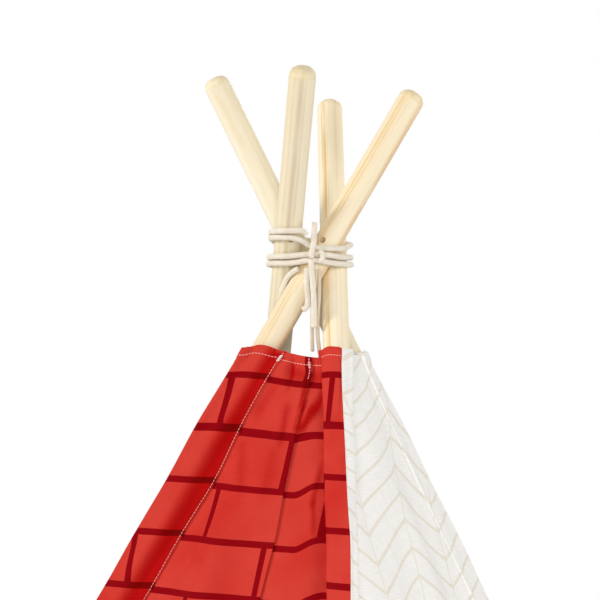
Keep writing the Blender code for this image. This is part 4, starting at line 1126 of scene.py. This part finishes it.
# Each fold from and to (past the middle, down), width, depth, and how much narrower its right side is
RIGHT_FOLDS = [
    ((-0.045, 0.030), (0.030, 0.190), 0.024, 0.0024, 0.7),
    ((0.020, 0.170), (0.080, 0.420), 0.030, 0.006),
    ((-0.090, 0.160), (-0.060, 0.480), 0.030, 0.005),
]
BACK_FOLDS = [((0.05, 0.02), (0.12, 0.5), 0.03, 0.008), ((-0.06, 0.03), (-0.16, 0.6), 0.035, 0.007)]
LEFT_FOLDS = [((-0.05, 0.02), (-0.13, 0.45), 0.03, 0.007), ((0.06, 0.03), (0.15, 0.6), 0.035, 0.007)]
wall("wall_right", "front_right", "back_right", 0.4, RIGHT_FOLDS, 0.0020)
wall("wall_back", "back_right", "back_left", 1.9, BACK_FOLDS)
wall("wall_left", "back_left", "front_left", 3.1, LEFT_FOLDS)


# ---- Front ------------------------------------------------------------------------------------
# Two halves of red brick canvas overlap in the middle, the left one outside. They are sewn together
# with a bar tack at the top. Below 1.02 m they are door curtains, which swing on the pockets.

DOOR_TOP = 1.02
DOOR_GAP = 0.0006
FRONT_FOLD_DEPTH = 0.009
LAP_LIFT = 0.0013
FRONT_COLUMNS = 73
RIM_SAG, LAP_SAG = 0.0040, 0.0062
ROW_CLEARANCE = 0.0005
# Given as the walls' folds are
FRONT_CREASES = [
    ((0.0368, 0.022), (0.0352, 0.062), 0.0060, 0.0042, 0.45),
    ((0.0352, 0.050), (0.0290, 0.079), 0.0055, 0.0042, 0.45),
    ((0.0165, 0.026), (0.0235, 0.056), 0.0040, 0.0026, 0.5),
    ((0.0230, 0.050), (0.0262, 0.084), 0.0050, 0.0030, 0.5),
    ((0.0060, 0.052), (0.0130, 0.095), 0.0080, 0.0034, 0.4),
    ((-0.0090, 0.026), (-0.0260, 0.068), 0.0090, -0.0034),
    ((-0.0040, 0.018), (0.0560, 0.024), 0.0130, -0.0075),
    ((-0.0020, 0.004), (0.0030, 0.036), 0.0045, -0.0026, 0.6),
    ((0.0620, 0.112), (0.0680, 0.158), 0.0045, 0.0022, 0.4),
    ((0.0670, 0.150), (0.0800, 0.185), 0.0045, 0.0018, 0.4),
    ((-0.0400, 0.094), (-0.0220, 0.150), 0.0110, 0.0036, 0.6),
    ((0.0030, 0.090), (0.0090, 0.150), 0.0130, 0.0040, 0.6),
    ((-0.0200, 0.170), (-0.0300, 0.420), 0.0300, 0.0080, 0.7),
    ((0.0800, 0.200), (0.1100, 0.560), 0.0350, 0.0080, 0.7),
    ((-0.0900, 0.280), (-0.1600, 0.900), 0.0450, 0.0100, 0.7),
]


def painted_crease_shade(x, down, start, end, width, depth, sharp=1.0):
    """Painted shade beside a fold, how much deeper its colour is made: a bell at the foot of its steep
    side, or in a dip's middle; steep folds have the most."""
    shift = width * sharp if depth > 0 else 0.0
    strength = min(max(1.7 * abs(depth) / width - 0.25, 0.0), 1.0)
    return crease(x - shift, down, start, end, width * 0.6, strength)


def lap_edge(down):
    """Where the left half ends, past the middle between the poles."""
    places = [0.0, 0.011, 0.035, 0.053, 0.070, 0.0915, 0.1395, 0.189, 0.30, 1.30]
    past = [0.0148, 0.0188, 0.0216, 0.0245, 0.0268, 0.0290, 0.0344, 0.0415, 0.048, 0.060]
    return np.interp(down, places, past)


def lap_hidden(down):
    """Where the right half ends, under the left one."""
    return lap_edge(down) - np.interp(down, [0.0, 0.19, 1.3], [0.018, 0.040, 0.090])


def front_half(name, side, body, joint, node_name, top, low):
    """Half of the front between two heights. The left half runs to its lap edge, the right one on
    under it."""
    half = "left" if side < 0 else "right"
    pole = "front_" + half
    upper = top == HEM_Z
    whole = HEM_Z - FLOOR_GAP
    downs = np.concatenate([TOP_ROWS, LOWER_ROWS])
    inside = downs[(downs > HEM_Z - top + ROW_CLEARANCE) & (downs < HEM_Z - low - ROW_CLEARANCE)]
    below = np.concatenate([[HEM_Z - top], inside, [HEM_Z - low]])
    z = HEM_Z - below
    width = np.linalg.norm(pole_at("front_right", z) - pole_at("front_left", z), axis=-1)
    s_left, _ = stitch_at("front_left", "after", below)
    s_right, _ = stitch_at("front_right", "before", below)
    clear = width - s_left - s_right + 2 * STITCH_TUCK
    reach = (width / 2 + (lap_edge(below) if side < 0 else lap_hidden(below)) - s_left + STITCH_TUCK) / clear
    w = np.linspace(0, 1, FRONT_COLUMNS)
    u = reach[:, None] * w if side < 0 else reach[:, None] + (1 - reach[:, None]) * w
    down = np.broadcast_to(below[:, None], u.shape)
    sag = (RIM_SAG + LAP_SAG * np.sin(np.pi / 2 * np.clip(u, 0, 1))) if upper else 0 * u
    droop = sag * (1 - (down - below[0]) / (below[-1] - below[0]))
    x = (u - 0.5) * clear[:, None] + (s_left - s_right)[:, None] / 2
    creases = sum(crease(x, down, *fold) for fold in FRONT_CREASES)
    out = FRONT_FOLD_DEPTH * soft_folds(u, down / whole, 0.7) + creases
    # Painted shade: the cloth's colour is deepened along the creases' steep sides and in their dips.
    painted_shade = np.clip(sum(painted_crease_shade(x, down, *fold) for fold in FRONT_CREASES), 0, 1)
    toward = w if side < 0 else 1 - w
    out = out - side * LAP_LIFT * np.minimum(1.0, 3 * toward)
    points, outward = wall_base("front_left", "front_right", u, down, droop, out)
    uv = red_print(points[..., 0], down, half)
    hem = cloth_thickness(down, whole, LOWER_HEM, upper)
    grids = canvas_grids(points, uv, outward, RED_SIDE, hem, painted_shade=painted_shade)
    outer = grids[0]["points"]

    def sew(line, shift=0.0, **sizes):
        """Stitches along a row or a column of the outer face."""
        grids.append(stitches(outer[line] + (shift, 0.0, 0.0), outward[line], **sizes))

    sew(np.s_[row_at(below, RIM_STITCH if upper else whole - LOWER_STITCH), 1:-1])
    if not upper:
        sew(np.s_[:, FRONT_COLUMNS - 3 if side < 0 else 2])
    elif side < 0:
        column = FRONT_COLUMNS - 5
        sew(np.s_[below < 0.027, column], length=0.0024, width=0.0011)
        for shift in (-0.0005, 0.0005):
            tack = np.s_[(below > 0.0002) & (below < 0.013), column]
            sew(tack, shift, length=0.0016, gap=TACK_GAP, width=0.0016)
    made = make_piece(name, body, grids, FINISHES, [node_name], sharp=55.0)
    along, _ = wall_frame("front_left", "front_right", (top + low) / 2)
    along = np.array([*along, 0.0])
    up = LINES[pole][1]
    axis = unit(along - up * (along @ up))
    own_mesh(made)


for part, kind, top, low in (("front", "upper", HEM_Z, DOOR_TOP + DOOR_GAP / 2),
                             ("door", "curtain", DOOR_TOP - DOOR_GAP / 2, FLOOR_GAP)):
    for side, half in ((-1, "left"), (1, "right")):
        body, joint, node_name = part + "_" + half, "fold_" + half, part + "_" + kind + "_" + half
        front_half("canvas_" + kind + "_" + half, side, body, joint, node_name, top, low)


# ---- Studio -----------------------------------------------------------------------------------
# A pale floor, a white backdrop that only the camera sees, soft lamps, and the photograph's camera.

FLOOR_RADIUS = 3.2
WORLD_LIGHT = 0.325

floor_mesh = bpy.data.meshes.new("studio_floor")
ring = np.linspace(0, 2 * np.pi, 65)[:-1]
disc = np.column_stack([FLOOR_RADIUS * np.cos(ring), FLOOR_RADIUS * np.sin(ring), 0 * ring])
floor_mesh.from_pydata(disc.tolist(), [], [list(range(64))])
floor_piece = bpy.data.objects.new("studio_floor", floor_mesh)
bpy.context.scene.collection.objects.link(floor_piece)
floor_finish, tree, shader = new_finish("studio_floor", Roughness=0.8, Specular_IOR_Level=0.2)
speck = noise(tree, object_place(tree), (3.0, 3.0, 3.0), detail=2.0)
pale = mix(tree, speck, linear(236, 235, 233), linear(240, 239, 238))
tree.links.new(pale, shader.inputs["Base Color"])
floor_mesh.materials.append(floor_finish)

world = bpy.data.worlds.new("studio")
bpy.context.scene.world = world
world.use_nodes = True
tree = world.node_tree
rays = add_node(tree, "LightPath").outputs
seen = calc(tree, "MAXIMUM", rays["Is Glossy Ray"], rays["Is Transmission Ray"])
seen = calc(tree, "MAXIMUM", rays["Is Camera Ray"], seen)
background = tree.nodes["Background"]
background.inputs["Color"].default_value = (1.0, 1.0, 1.0, 1.0)
strength = calc(tree, "MULTIPLY_ADD", seen, 1.0 - WORLD_LIGHT, WORLD_LIGHT)
tree.links.new(strength, background.inputs["Strength"])


def lamp(name, place, target, size, watts, colour):
    """A square area lamp aimed at a point."""
    data = bpy.data.lights.new(name, "AREA")
    data.size = size
    data.energy = watts
    data.color = colour
    made = bpy.data.objects.new(name, data)
    bpy.context.scene.collection.objects.link(made)
    back = unit(np.array(place) - np.array(target))
    right = unit(np.cross((0.0, 0.0, 1.0), back))
    turned = np.eye(4)
    turned[:3, :3] = np.stack([right, np.cross(back, right), back], axis=1)
    turned[:3, 3] = place
    made.matrix_world = Matrix(turned.tolist())


lamp("key", (-4.1, -4.3, 3.2), (0, 0, 1.15), 1.2, 206.0, (1.0, 0.985, 0.96))
lamp("front", (2.0, -3.0, 2.0), (0, 0, 1.1), 1.4, 52.0, (1.0, 0.995, 0.985))
lamp("side", (3.8, 0.9, 2.0), (0, 0, 1.1), 3.0, 56.0, (1.0, 0.995, 0.99))
lamp("rim", (-0.6, 3.2, 2.8), (0, 0, 1.0), 2.0, 34.0, (1.0, 1.0, 1.0))

camera_data = bpy.data.cameras.new("camera")
camera_data.sensor_width = 36.0
camera_data.lens = 156.2
camera_data.clip_start, camera_data.clip_end = 0.05, 60.0
camera = bpy.data.objects.new("camera", camera_data)
bpy.context.scene.collection.objects.link(camera)
# Columns: the camera's right, up and back, and its place
camera_place = np.eye(4)
camera_place[:3, 0] = (0.79884, 0.60071, 0.03174)
camera_place[:3, 1] = (-0.00174, -0.05046, 0.99872)
camera_place[:3, 2] = (0.60155, -0.79787, -0.03926)
camera_place[:3, 3] = (1.6491, -2.1878, 1.2487)
camera.matrix_world = Matrix(camera_place.tolist())
bpy.context.scene.camera = camera
bpy.context.scene.view_settings.view_transform = "Standard"
